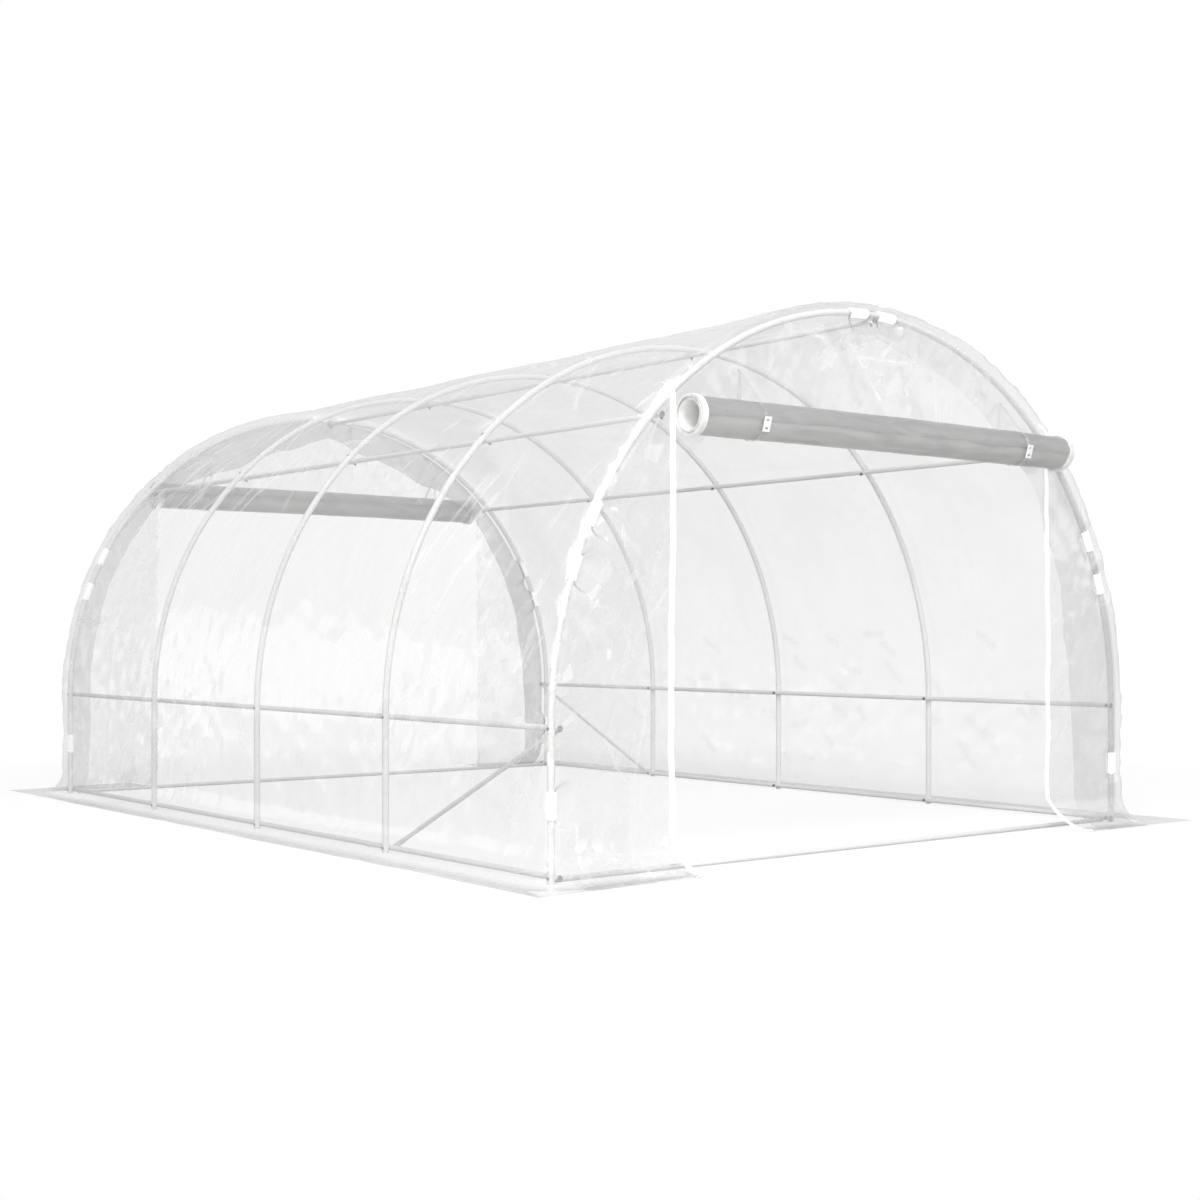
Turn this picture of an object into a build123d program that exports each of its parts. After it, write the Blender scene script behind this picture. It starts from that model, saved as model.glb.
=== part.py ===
# Walk-in polytunnel greenhouse, 3 m wide, 4 m long and 2 m high: five tubular steel hoops,
# seven lengthwise rails, two corner braces and a clear film cover with a roll-up door at each end.
# Millimetres. X is across, Y is along (the front is at -Y), Z is up, and Z = 0 is the ground.
import os
from math import cos, degrees, radians, sin

from build123d import *

# Driving dimensions of the frame
HOOP_COUNT = 5
BAY = 1000.0  # centre to centre of two hoops
HOOP_RADIUS = 1475.0  # centreline of the half-round arch, and half the width between the legs
ARCH_CENTRE_Z = 495.0  # height where the legs turn into the arch
JOINT_ANGLE = 1.0  # degrees up the arch where the joint with the leg shows
SPIGOT_LENGTH = 60.0  # straight reduced end of the arch inside the leg
HOOP_TUBE = 25.0
RAIL_TUBE = 20.0
SILL_TUBE = 18.0
BRACE_TUBE = 16.0
TUBE_WALL = 1.0
HOOP_SIDES = 6  # the tubes are drawn with flats, which keeps the bends light
TUBE_SIDES = 8
SPIGOT_GAP = 0.2
JOINT_GAP = 0.5  # between the leg's top and the arch
RAIL_PLAY = 0.05  # keeps the flat of a rail off the curve of an arch
RAIL_OVERHANG = 15.0  # rail past the centre of the end hoop
CAP_FLANGE = 3.0
CAP_PLUG = 14.0
CAP_LIP = 0.8  # flange past the rail's outside
BASE_RAIL_Z = 18.0
KNEE_RAIL_Z = 492.0
SHOULDER_ANGLE = 45.0
SILL_Z = 10.0
TAB_THICK = 3.0  # flattened end of a brace
TAB_WIDE = 22.0
TAB_TIP_WIDE = 10.0
TAB_TIP = 7.0  # length of the tip's taper
TAB_PAST_BOLT = 12.0
TAB_REACH = 45.0  # from the bolt to where the tab swells
TAPER = 40.0  # from the flat tab to the full tube

# Driving dimensions of the film
FILM = 2.0
FILM_GAP = 0.5  # film outside the hoops
END_WALL_Y = 2030.0  # inner face of the end walls
FLARE = 130.0  # radius of the bend where the film turns out over the ground
SKIRT = 235.0  # film on the ground past the walls, on all four sides
DOOR_HALF = 990.0  # half the width of the doorway
HEAD_Z = 1585.0  # lower edge of the film panel over the doorway
HEM_HALF = 1200.0  # half the width inside the cover's turned-in edge
HEM_CENTRE_Z = 670.0  # height where that edge turns into a half circle
ZIP_WIDTH = 22.0
ZIP_THICK = 3.0
ZIP_FROM_DOOR = 2.0
ROLL_RADIUS = 68.0
ROLL_BORE = 50.0
ROLL_HALF = 985.0
ROLL_Z = 1515.0
STRAP_X = 700.0
STRAP_WIDTH = 18.0
STRAP_THICK = 2.0
STRAP_TOP_Z = 1700.0
BUCKLE_WIDE = 26.0
BUCKLE_THICK = 5.0
BUCKLE_TALL = 46.0
CLIP_LENGTH = 88.0
CLIP_BORE = 14.8  # radius that leaves room for the film wrapped around the tube
CLIP_WALL = 2.4
CLIP_GRIP = 220.0  # degrees of tube that a clip reaches around
CLIP_SIDES = 8
CLIP_LEG_Z = 248.0
CLIP_ANGLES = (20.2, 27.7, 87.1)  # clip centres up the arch from either leg
FIT = 0.3  # play between film and what grips it
STRAP_PLAY = 1.0  # between the door roll and its straps
STRAP_SIDES = 12

# Worked-out sizes
END_HOOP_Y = BAY * (HOOP_COUNT - 1) / 2
HOOP_Y = [BAY * i - END_HOOP_Y for i in range(HOOP_COUNT)]
HOOP_R = HOOP_TUBE / 2
RAIL_R = RAIL_TUBE / 2
RAIL_LINE = HOOP_RADIUS - HOOP_R - RAIL_PLAY - RAIL_R  # rail centres, measured like HOOP_RADIUS
FILM_IN = HOOP_RADIUS + HOOP_R + FILM_GAP
FILM_OUT = FILM_IN + FILM
JOINT_Z = ARCH_CENTRE_Z + HOOP_RADIUS * sin(radians(JOINT_ANGLE))
END_WALL_OUT = END_WALL_Y + FILM
ROLL_Y = END_WALL_OUT + FIT + STRAP_THICK + STRAP_PLAY + ROLL_RADIUS


def rod(radius, sides=TUBE_SIDES):
    """Round bar's section with a flat facing each way that something bears on it."""
    return RegularPolygon(radius, sides, major_radius=False, rotation=90 - 180 / sides)


def tube(radius, sides=TUBE_SIDES):
    return rod(radius, sides) - rod(radius - TUBE_WALL, sides)


def run_between(section, start, end):
    """Section carried in a straight line from one point to another."""
    run = Vector(*end) - Vector(*start)
    return extrude(Plane(origin=start, z_dir=run) * section, amount=run.length)


def bend(section, y, start_angle, sweep):
    """Section carried along the arch of the hoop at y, angles up from the right-hand leg."""
    a = radians(start_angle)
    origin = (HOOP_RADIUS * cos(a), y, ARCH_CENTRE_Z + HOOP_RADIUS * sin(a))
    face = Plane(origin=origin, x_dir=(0, 1, 0), z_dir=(-sin(a), 0, cos(a))) * section
    return revolve(face, Axis((0, y, ARCH_CENTRE_Z), (0, -1, 0)), sweep)


def upright(section, y, foot_z, top_z):
    """Section carried straight up in line with the right-hand leg."""
    plane = Plane(origin=(HOOP_RADIUS, y, foot_z), x_dir=(0, 1, 0), z_dir=(0, 0, 1))
    return extrude(plane * section, top_z - foot_z)


def legs(y):
    leg = upright(tube(HOOP_R, HOOP_SIDES), y, 0, JOINT_Z - JOINT_GAP)
    return Compound(children=[leg, mirror(leg, about=Plane.YZ)])


def arch(y):
    """Half-round top of a hoop, with reduced ends that plug into the legs."""
    reduced = rod(HOOP_R - TUBE_WALL - SPIGOT_GAP, HOOP_SIDES)
    spigot = upright(reduced, y, JOINT_Z - SPIGOT_LENGTH, JOINT_Z + HOOP_R)
    whole = bend(rod(HOOP_R, HOOP_SIDES), y, JOINT_ANGLE, 180 - 2 * JOINT_ANGLE)
    return whole + spigot + mirror(spigot, about=Plane.YZ)


def rail_places():
    """Centre of each lengthwise rail: name, x and z."""
    a = radians(SHOULDER_ANGLE)
    places = {"ridge_rail": (0, ARCH_CENTRE_Z + RAIL_LINE)}
    for word, side in (("left", -1), ("right", 1)):
        places["base_rail_" + word] = (side * RAIL_LINE, BASE_RAIL_Z)
        places["knee_rail_" + word] = (side * RAIL_LINE, KNEE_RAIL_Z)
        places["shoulder_rail_" + word] = (side * RAIL_LINE * cos(a), ARCH_CENTRE_Z + RAIL_LINE * sin(a))
    return places


def long_rail(x, z):
    reach = END_HOOP_Y + RAIL_OVERHANG
    return run_between(tube(RAIL_R), (x, -reach, z), (x, reach, z))


def rail_caps(end):
    """Round plastic plugs in the rail ends, at the front for end = -1 and the rear for 1."""
    caps = []
    y = end * (END_HOOP_Y + RAIL_OVERHANG)
    for x, z in rail_places().values():
        flange = run_between(rod(RAIL_R + CAP_LIP), (x, y, z), (x, y + end * CAP_FLANGE, z))
        plug = run_between(rod(RAIL_R - TUBE_WALL - FIT), (x, y, z), (x, y - end * CAP_PLUG, z))
        caps.append(flange + plug)
    return Compound(children=caps)


def sill_rail(end):
    """Tube across the end at ground level, between the two base rails."""
    y = end * (END_HOOP_Y - HOOP_R - SILL_TUBE / 2)
    x = RAIL_LINE - RAIL_R
    return run_between(tube(SILL_TUBE / 2), (-x, y, SILL_Z), (x, y, SILL_Z))


def squeezed(thick, wide):
    """Octagonal tube's section pressed to the given thickness and width."""
    corner = radians(180 / TUBE_SIDES)
    turns = [corner * (2 * i + 1) for i in range(TUBE_SIDES)]
    half_thick, half_wide = thick / 2 / cos(corner), wide / 2 / cos(corner)
    return make_face(Polyline([(half_thick * cos(t), half_wide * sin(t)) for t in turns], close=True))


def brace(side, end):
    """Diagonal tube in an end bay, its ends squeezed flat for the end hoop's knee bolt and the next foot bolt."""
    x = side * (RAIL_LINE - RAIL_R - TAB_THICK / 2)
    knee = Vector(x, end * END_HOOP_Y, KNEE_RAIL_Z)
    run = Vector(x, end * (END_HOOP_Y - BAY), BASE_RAIL_Z) - knee
    tip, tab = squeezed(TAB_THICK, TAB_TIP_WIDE), squeezed(TAB_THICK, TAB_WIDE)
    bar = squeezed(BRACE_TUBE, BRACE_TUBE)
    stations = [(-TAB_PAST_BOLT, tip), (TAB_TIP - TAB_PAST_BOLT, tab), (TAB_REACH, tab), (TAB_REACH + TAPER, bar)]
    stations += [(run.length - distance, section) for distance, section in reversed(stations)]
    plane = Plane(origin=knee, x_dir=(1, 0, 0), z_dir=run)
    return loft([plane.offset(distance) * section for distance, section in stations], ruled=True)


def film_strip(lines):
    """Film of the given cross-section, inner line first, along the whole tunnel."""
    inner, outer = lines
    ends = [Line(inner[0] @ 0, outer[0] @ 0), Line(inner[-1] @ 1, outer[-1] @ 1)]
    return extrude(Plane.XZ * make_face(Curve() + inner + outer + ends), END_WALL_Y, both=True)


def cover_roof():
    """Film over the arches."""
    return film_strip([[CenterArc((0, ARCH_CENTRE_Z), FILM_IN + lift, 0, 180)] for lift in (0, FILM)])


def on_side(strip, side):
    """A strip drawn on the right-hand side, or its mirror image."""
    return strip if side > 0 else mirror(strip, about=Plane.YZ)


def cover_side(side):
    """Film down a side wall."""
    return on_side(film_strip([[Line((x, ARCH_CENTRE_Z), (x, FLARE))] for x in (FILM_IN, FILM_OUT)]), side)


def cover_skirt(side):
    """Film at the foot of a side wall, turned out flat over the ground."""
    turn_x = FILM_IN + FLARE
    lines = [
        [CenterArc((turn_x, FLARE), FLARE - lift, 180, 90), Line((turn_x, lift), (FILM_OUT + SKIRT, lift))]
        for lift in (0, FILM)
    ]
    return on_side(film_strip(lines), side)


def tunnel_outline(half, centre_z):
    """Upright sides under a half circle, standing on the ground."""
    upright = Rectangle(2 * half, centre_z, align=(Align.CENTER, Align.MIN))
    top = Pos(0, centre_z) * Circle(half)
    above = Rectangle(2 * half, centre_z + half, align=(Align.CENTER, Align.MIN))
    return upright + (top & above)


def end_plate(face, end, inner_y):
    """Flat film of the given outline, standing in the end plane from inner_y outwards."""
    return Pos(0, end * (inner_y + FILM / 2), 0) * extrude(Plane.XZ * face, FILM / 2, both=True)


def flared_strip(end, low_x, high_x, lift, thick):
    """Upright strip in the end plane that turns out flat over the ground."""
    near = END_WALL_Y + lift
    far = near + thick
    turn_y = END_WALL_Y + FLARE
    reach = END_WALL_OUT + SKIRT
    top = ARCH_CENTRE_Z + FILM_OUT
    outline = [
        Line((near, top), (near, FLARE)),
        CenterArc((turn_y, FLARE), FLARE - lift, 180, 90),
        Line((turn_y, lift), (reach, lift)),
        Line((reach, lift), (reach, lift + thick)),
        Line((reach, lift + thick), (turn_y, lift + thick)),
        CenterArc((turn_y, FLARE), FLARE - lift - thick, 270, -90),
        Line((far, FLARE), (far, top)),
        Line((far, top), (near, top)),
    ]
    plane = Plane(origin=(low_x, 0, 0), x_dir=(0, end, 0), z_dir=(end, 0, 0))
    return extrude(plane * make_face(Curve() + outline), end * (high_x - low_x))


def under_arch(solid, half):
    """Part of a strip that lies inside the tunnel's outline."""
    return solid & extrude(Plane.XZ * tunnel_outline(half, ARCH_CENTRE_Z), 2 * END_WALL_Y, both=True)


def end_wall_side(side, end):
    """Fixed film beside the doorway, with the flat corner of the skirt."""
    low, high = sorted((side * DOOR_HALF, side * FILM_OUT))
    wall = under_arch(flared_strip(end, low, high, 0, FILM), FILM_OUT)
    corner_long = FILM + SKIRT
    corner = Pos(side * (FILM_OUT + SKIRT / 2), end * (END_WALL_Y + corner_long / 2), FILM / 2)
    return wall + corner * Box(SKIRT, corner_long, FILM)


def end_wall_head(end):
    """Fixed film over the doorway, under the arch."""
    outline = tunnel_outline(FILM_OUT, ARCH_CENTRE_Z)
    face = outline & Pos(0, HEAD_Z) * Rectangle(2 * DOOR_HALF, FILM_OUT, align=(Align.CENTER, Align.MIN))
    return end_plate(face, end, END_WALL_Y)


def cover_hem(end):
    """Edge of the cover turned in behind the end wall."""
    face = tunnel_outline(FILM_IN, ARCH_CENTRE_Z) - tunnel_outline(HEM_HALF, HEM_CENTRE_Z)
    return end_plate(face, end, END_WALL_Y - FILM)


def zips(end):
    """Two zips beside the doorway, turned out over the ground with the film."""
    strips = []
    for side in (-1, 1):
        edge = DOOR_HALF + ZIP_FROM_DOOR
        low, high = sorted((side * edge, side * (edge + ZIP_WIDTH)))
        strips.append(under_arch(flared_strip(end, low, high, FILM, ZIP_THICK), FILM_OUT))
    return Compound(children=strips)


def door_roll(end):
    """Door film rolled up over the doorway, open along its middle."""
    ring = Circle(ROLL_RADIUS) - Circle(ROLL_BORE)
    return run_between(ring, (-ROLL_HALF, end * ROLL_Y, ROLL_Z), (ROLL_HALF, end * ROLL_Y, ROLL_Z))


def strap_outline(clear):
    """Closed line of a strap that hangs from the head panel and passes around the roll."""
    anchor_y = END_WALL_OUT + FIT + STRAP_THICK + STRAP_PLAY
    flats = {"side_count": STRAP_SIDES, "major_radius": False, "rotation": 180 / STRAP_SIDES}
    roll = Pos(ROLL_Y, ROLL_Z) * RegularPolygon(ROLL_RADIUS + clear, **flats)
    anchor = Pos(anchor_y, STRAP_TOP_Z) * RegularPolygon(clear, **flats)
    return make_hull(roll.edges() + anchor.edges())


def door_ties(end):
    """Two straps that hold the roll, each with a flat buckle in front."""
    loop = strap_outline(STRAP_PLAY + STRAP_THICK) - strap_outline(STRAP_PLAY)
    front_y = ROLL_Y + ROLL_RADIUS + STRAP_PLAY + STRAP_THICK
    ties = []
    for side in (-1, 1):
        plane = Plane(origin=(side * STRAP_X - STRAP_WIDTH / 2, 0, 0), x_dir=(0, 1, 0), z_dir=(1, 0, 0))
        buckle = Box(BUCKLE_WIDE, BUCKLE_THICK, BUCKLE_TALL)
        tie = extrude(plane * loop, STRAP_WIDTH) + Pos(side * STRAP_X, front_y, ROLL_Z) * buckle
        ties.append(tie if end > 0 else mirror(tie, about=Plane.XZ))
    return Compound(children=ties)


def at_clips(section, end, length):
    """Section carried over the given length at each clip's place on an end hoop."""
    y = end * END_HOOP_Y
    low = Plane(origin=(HOOP_RADIUS, y, CLIP_LEG_Z - length / 2), x_dir=(1, 0, 0), z_dir=(0, 0, 1))
    right = [extrude(low * section, length)]
    sweep = degrees(length / HOOP_RADIUS)
    for angle in CLIP_ANGLES:
        a = radians(angle - sweep / 2)
        origin = (HOOP_RADIUS * cos(a), y, ARCH_CENTRE_Z + HOOP_RADIUS * sin(a))
        face = Plane(origin=origin, x_dir=(cos(a), 0, sin(a)), z_dir=(-sin(a), 0, cos(a))) * section
        right.append(revolve(face, Axis((0, y, ARCH_CENTRE_Z), (0, -1, 0)), sweep))
    return right + [mirror(solid, about=Plane.YZ) for solid in right]


def film_clips(end):
    """Snap-on clips that press the film on to an end hoop, open towards the inside of the tunnel."""
    outside = CLIP_BORE + CLIP_WALL
    ring = rod(outside, CLIP_SIDES) - rod(CLIP_BORE, CLIP_SIDES)
    half = radians(CLIP_GRIP / 2)
    reach = 2 * outside
    side = reach * sin(half)
    jaws = [(reach * cos(half), side), (-reach, side), (-reach, -side), (reach * cos(half), -side)]
    mouth = make_face(Polyline([(0, 0), *jaws], close=True))
    return Compound(children=at_clips(ring - mouth, end, CLIP_LENGTH))


def clip_windows():
    """Blocks that clear the film where the clips sit on both end hoops."""
    wide = 2 * (CLIP_BORE + CLIP_WALL) / cos(radians(180 / CLIP_SIDES)) + 2 * FIT
    return [cut for end in (-1, 1) for cut in at_clips(Rectangle(wide, wide), end, CLIP_LENGTH + 2 * FIT)]


parts = {}
for number, y in enumerate(HOOP_Y, start=1):
    parts[f"hoop_{number}_legs"] = legs(y)
    parts[f"hoop_{number}_arch"] = arch(y)
for name, (x, z) in rail_places().items():
    parts[name] = long_rail(x, z)
parts["brace_left"] = brace(-1, -1)
parts["brace_right"] = brace(1, 1)
windows = clip_windows()
parts["cover_roof"] = cover_roof() - windows
for word, side in (("left", -1), ("right", 1)):
    parts["cover_side_" + word] = cover_side(side) - windows
    parts["cover_skirt_" + word] = cover_skirt(side)
for word, end in (("front", -1), ("rear", 1)):
    parts[word + "_sill_rail"] = sill_rail(end)
    parts[word + "_rail_caps"] = rail_caps(end)
    parts[word + "_wall_left"] = end_wall_side(-1, end)
    parts[word + "_wall_right"] = end_wall_side(1, end)
    parts[word + "_wall_head"] = end_wall_head(end)
    parts[word + "_cover_hem"] = cover_hem(end)
    parts[word + "_zips"] = zips(end)
    parts[word + "_door_roll"] = door_roll(end)
    parts[word + "_door_ties"] = door_ties(end)
    parts[word + "_film_clips"] = film_clips(end)

os.makedirs("parts", exist_ok=True)
for name, solid in parts.items():
    export_step(solid, f"parts/{name}.step")
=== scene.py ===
from math import acos, atan2, cos, pi, radians, sin

import bpy
import numpy as np
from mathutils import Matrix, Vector

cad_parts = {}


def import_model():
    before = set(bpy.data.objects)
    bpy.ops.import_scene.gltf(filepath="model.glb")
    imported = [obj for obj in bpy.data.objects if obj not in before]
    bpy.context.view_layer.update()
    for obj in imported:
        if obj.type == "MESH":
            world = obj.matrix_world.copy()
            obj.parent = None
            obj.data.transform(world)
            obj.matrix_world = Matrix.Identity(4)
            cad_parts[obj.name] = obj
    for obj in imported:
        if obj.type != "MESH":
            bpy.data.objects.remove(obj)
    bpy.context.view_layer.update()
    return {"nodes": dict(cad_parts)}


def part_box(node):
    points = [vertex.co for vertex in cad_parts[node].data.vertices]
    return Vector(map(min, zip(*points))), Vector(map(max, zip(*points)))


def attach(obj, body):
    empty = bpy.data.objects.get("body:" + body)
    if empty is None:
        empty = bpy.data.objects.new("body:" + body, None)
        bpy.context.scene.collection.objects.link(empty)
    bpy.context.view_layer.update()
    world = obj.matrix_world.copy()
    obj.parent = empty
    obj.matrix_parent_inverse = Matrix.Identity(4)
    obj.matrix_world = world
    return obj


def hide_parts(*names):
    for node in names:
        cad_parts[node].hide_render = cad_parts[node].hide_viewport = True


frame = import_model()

# Sizes read from the frame
HOOP_COUNT = 5
LEGS = [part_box(f"hoop_{n}_legs") for n in range(1, HOOP_COUNT + 1)]
HOOP_Y = [(low.y + high.y) / 2 for low, high in LEGS]
HOOP_R = (LEGS[0][1].y - LEGS[0][0].y) / 2 * cos(pi / 6)
HOOP_X = LEGS[0][1].x - HOOP_R
ARCH_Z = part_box("hoop_1_arch")[1].z - HOOP_X - HOOP_R
JOINT_Z = LEGS[0][1].z
BAY = HOOP_Y[1] - HOOP_Y[0]
END_Y = HOOP_Y[-1]
WALL_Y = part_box("rear_wall_head")[0].y
SIDES = {"left": -1, "right": 1}
ENDS = {"front": -1, "rear": 1}


def middle(node):
    low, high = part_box(node)
    return (low + high) / 2


def half_size(node):
    low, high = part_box(node)
    return (high - low) / 2


RAILS = [n for n in frame["nodes"] if n.endswith(("rail_left", "rail_right")) or n == "ridge_rail"]
RAIL_R = half_size("knee_rail_left").x
RAIL_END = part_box("knee_rail_left")[1].y
KNEE_Z = middle("knee_rail_left").z
BASE_Z = middle("base_rail_left").z

# Film, from the CAD sheet and from how far it stands off the tubes in the photograph
FILM_R = HOOP_X + HOOP_R + 0.0185
FLARE = 0.13  # radius of the bend where the film turns out on to the ground
QUARTER = FILM_R * pi / 2
WALL_DROP = ARCH_Z - FLARE
FLARE_RUN = FLARE * pi / 2
SKIRT_RUN = 0.11  # film lying flat past that bend, before it is stretched to the skirt's real edge
MAIN_Y = 1.975  # where the cover starts to round over the end hoops
ROUND_Y = WALL_Y - MAIN_Y
ROUND_IN = 0.042  # how far inside the cover's smooth line the end walls lie
END_LIFT = (0.007, 0.020)  # how far the cover stands up over the end hoops, on the left and on the right
SQUARE = 0.62  # below 1, a tighter fold at the end than a round one
WALL_R = FILM_R - ROUND_IN
TIGHT_R = HOOP_R + 0.0013  # film pressed on the tube by a clip
SKIRT_CORNERS = {  # of the film on the ground, by side and end
    (-1, -1): (-1.672, -2.200),
    (1, -1): (1.772, -2.188),
    (-1, 1): (-1.657, 2.335),
    (1, 1): (1.745, 2.300),
}
WALL_LIFT = 0.0028  # end wall outside the cover's hem
SAG = 0.006  # of the cover between two hoops
ON_GROUND = 0.0012  # lowest height of film on the ground

# Clips
CLIP_HALF = 0.044  # half of its length along the hoop
CLIP_LEG_Z = 0.248
CLIP_ANGLES = (20.2, 27.7, 87.1)  # degrees up the arch from either leg
CLIP_S = [QUARTER + ARCH_Z - CLIP_LEG_Z] + [radians(90 - a) * FILM_R for a in CLIP_ANGLES]
CLIP_S = CLIP_S + [-s for s in CLIP_S]
CLIP_LEAN = {-1: radians(-45), 1: 0.0}  # the front clips open towards the rear
CLIP_RADII = (0.0148, 0.0164)  # inner and outer, without the ribs
CLIP_OPEN = 138  # degrees from the middle of a clip's back to its lips
CLIP_RIBS = 8
RIB_HEIGHT = 0.0024
RIB_SHAPE = ((0.0, 0.0), (0.28, 0.0), (0.36, 0.8), (0.45, 1.0), (0.83, 1.0), (0.92, 0.8), (0.999, 0.0))
GRIP_FADE = 0.035  # along the hoop, from the end of a clip to where the film lies free
GRIP_TURN = radians(105)  # how far round the tube the end film follows it inside a clip
RELEASE = 0.085  # down the end film, from the tube to where it is back in its plane

# Joints and fittings of the frame
ARCH_JOINT = radians(54.8)  # up the arch from either leg
RAIL_JOINTS = (-1.34, -0.82, 0.66, 1.34)  # along Y
SILL_JOINTS = (-0.42, 0.50)  # along X
GROOVE = 0.0012  # depth of the gap after a sleeve
BRACE_R = 0.008
BRACE_STEEL = 0.0032  # thickness of a brace where it is pressed flat
# Crossings with a brace under the nut: rail and hoop, counted from 0
BRACED = (("knee_rail_left", 0), ("knee_rail_right", 4), ("base_rail_left", 1), ("base_rail_right", 3))

# Doors
DOOR_HALF = 0.990  # half of the doorway's width
ZIP_TAPE = 0.021  # width of a zip's tape
TAPE_THICK = 0.0012
TOOTH = (0.0052, 0.0032, 0.0034)  # across, along and out of the tape
TOOTH_PITCH = 0.006
ROLL = middle("front_door_roll")
ROLL_Z = ROLL.z
ROLL_Y = abs(ROLL.y)
ROLL_R = half_size("front_door_roll").z
ROLL_CORE = 0.050  # radius of the roll's hole
ROLL_HALF = half_size("front_door_roll").x
ROLL_TURNS = 5
RIM_WIDTH = 0.024  # zip tape rolled up at either end
RIM_HALF = 0.0013
STRAP_HALF = 0.009
STRAP_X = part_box("front_door_ties")[1].x - 0.013
STRAP_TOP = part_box("front_door_ties")[1].z - 0.003

# Inner edge of the cover where it is turned in behind an end wall: angle up from the leg, width
HEM_WIDTHS = ((-20, 0.27), (0, 0.305), (14, 0.322), (25, 0.267), (36, 0.250), (42, 0.200), (48, 0.186),
              (62, 0.163), (72, 0.150), (82, 0.135), (90, 0.085))

# Creases of the front end seen in the photograph, as (x, z)
HEAD_CREASES = [
    [(-0.308, 1.801), (0.276, 1.802), (0.33, 1.597)],
    [(-0.427, 1.863), (-0.148, 1.84), (0.011, 1.654)],
]
WALL_CREASES = [
    [(-1.021, 0.937), (-1.263, 0.643)],
    [(-1.373, 0.82), (-1.31, 0.90)], [(-1.373, 0.82), (-1.29, 0.80)], [(-1.373, 0.82), (-1.33, 0.74)],
    [(-1.373, 0.82), (-1.42, 0.87)],
    [(-1.393, 0.04), (-1.393, 0.185)], [(-1.32, 0.04), (-1.32, 0.185)],
]
ZIP_GLARE = [[(-1.073, 1.621), (-1.02, 1.60), (-0.986, 1.586)]]

# White glare on the cover's front rounding: angle up from the leg, strength
GLARE = ((-19, 0.9), (-14, 0.9), (-8, 0.1), (2, 0.35), (12, 0.75), (20, 1.0), (50, 0.9), (58, 0.45),
         (66, 0.15))
PRESSED = (radians(40), radians(72))  # where on its rounding the cover goes down on to the tube at a clip
REAR_HEM = (0.34, 0.45)  # its width low on the left and on the right, as a share of the front one's
ZIP_LIFT = 0.0016  # zip tape outside the end wall
ZIP_START = (18, 78, 9)  # degrees of the cover's rounding that a zip's top runs over, and its points there

# By side and end: how far the zip drifts and bows outwards on the ground, and how worn the wall is:
# how crumpled and creased, which also sets its painted glints and streak highlights
ZIP_DRIFT = {(-1, -1): (0.03, -0.03), (1, -1): (0.075, 0.07), (-1, 1): (0.02, 0.01), (1, 1): (0.05, 0.03)}
WALL_WEAR = {(-1, -1): 1.0, (1, -1): 0.45, (-1, 1): 0.7, (1, 1): 0.5}

# The photograph and its camera, solved from the hoops, rails and leg feet
PHOTO_SIDE = 1200.0
HORIZON_DROP = 34.67  # pixels from the middle of the photograph down to the horizon
CAMERA_PLACE = (-4.7389, -6.3713, 0.7896)
CAMERA_WAY = (0.6208, 0.784)
LENS, SENSOR = 51.74, 36.0

# Light
WHITE = (1, 1, 1, 1)
AMBIENT = 0.39  # the white surroundings, as they light things
FLOOR_GLOW = 0.72  # the floor as the camera sees it: own light, and share of the light on it
FLOOR_SHADE = 0.32
FLOOR_REACH = (2.8, 4.6)  # from the middle: where the floor's shadow starts and ends to fade
LAMPS = (  # name, place, target, size and power
    ("key", (-4.6, -5.8, 7.6), (0, 0, 0.8), (2.8, 2.8), 480),
    ("front", (-5.6, -8.6, 2.8), (0, 0, 0.9), (3.2, 3.2), 285),
    ("side", (-4.2, 4.2, 1.1), (-1.5, -0.6, 0.6), (2.6, 1.8), 14),
    ("fill", (7.0, -6.0, 4.0), (0, 0, 0.8), (5.0, 5.0), 90),
    ("top", (0.0, 0.5, 8.0), (0, 0, 0), (6.0, 6.0), 90),
)
# Direction in which the film's streaks are drawn out
FILM_GRAIN = Vector((-0.45, 0.42, -0.78)).to_track_quat("Z", "Y").to_euler()


def noise(u, v, cell, seed):
    """Smooth random field from -1 to 1 with the given cell size."""
    lattice = np.random.default_rng(seed).uniform(-1, 1, (97, 97))
    gu, gv = np.broadcast_arrays(np.asarray(u, float) / cell, np.asarray(v, float) / cell)
    iu, iv = np.floor(gu).astype(int), np.floor(gv).astype(int)
    fu, fv = gu - iu, gv - iv
    fu, fv = fu * fu * (3 - 2 * fu), fv * fv * (3 - 2 * fv)

    def at(du, dv):
        return lattice[(iu + du) % 97, (iv + dv) % 97]

    low = at(0, 0) * (1 - fu) + at(1, 0) * fu
    high = at(0, 1) * (1 - fu) + at(1, 1) * fu
    return low * (1 - fv) + high * fv


def folds(u, v, angle, across, along, seed):
    """Long soft folds: noise stretched along a direction."""
    c, s = cos(angle), sin(angle)
    p, q = u * c + v * s, -u * s + v * c
    bent = p + 0.35 * across * noise(u, v, along * 0.6, seed + 50)
    return noise(bent, q * across / along, across, seed)


def creases(u, v, cell, seed, sharp=5):
    """Thin raised lines along the edges of noise patches."""
    field = noise(u + 0.3 * cell * noise(u, v, cell * 0.7, seed + 9), v, cell, seed)
    return (1 - np.abs(field)) ** sharp


def smooth_step(x, low, high):
    t = np.clip((np.asarray(x, float) - low) / (high - low), 0, 1)
    return t * t * (3 - 2 * t)


def strokes(u, v, lines, width):
    """1 along the given lines of points, fading to 0 over the width."""
    near = np.full(np.broadcast(u, v).shape, np.inf)
    for line in lines:
        for (u0, v0), (u1, v1) in zip(line, line[1:]):
            du, dv = u1 - u0, v1 - v0
            t = np.clip(((u - u0) * du + (v - v0) * dv) / (du * du + dv * dv), 0, 1)
            near = np.minimum(near, np.hypot(u - u0 - t * du, v - v0 - t * dv))
    return 1 - smooth_step(near, width * 0.25, width)


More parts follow.
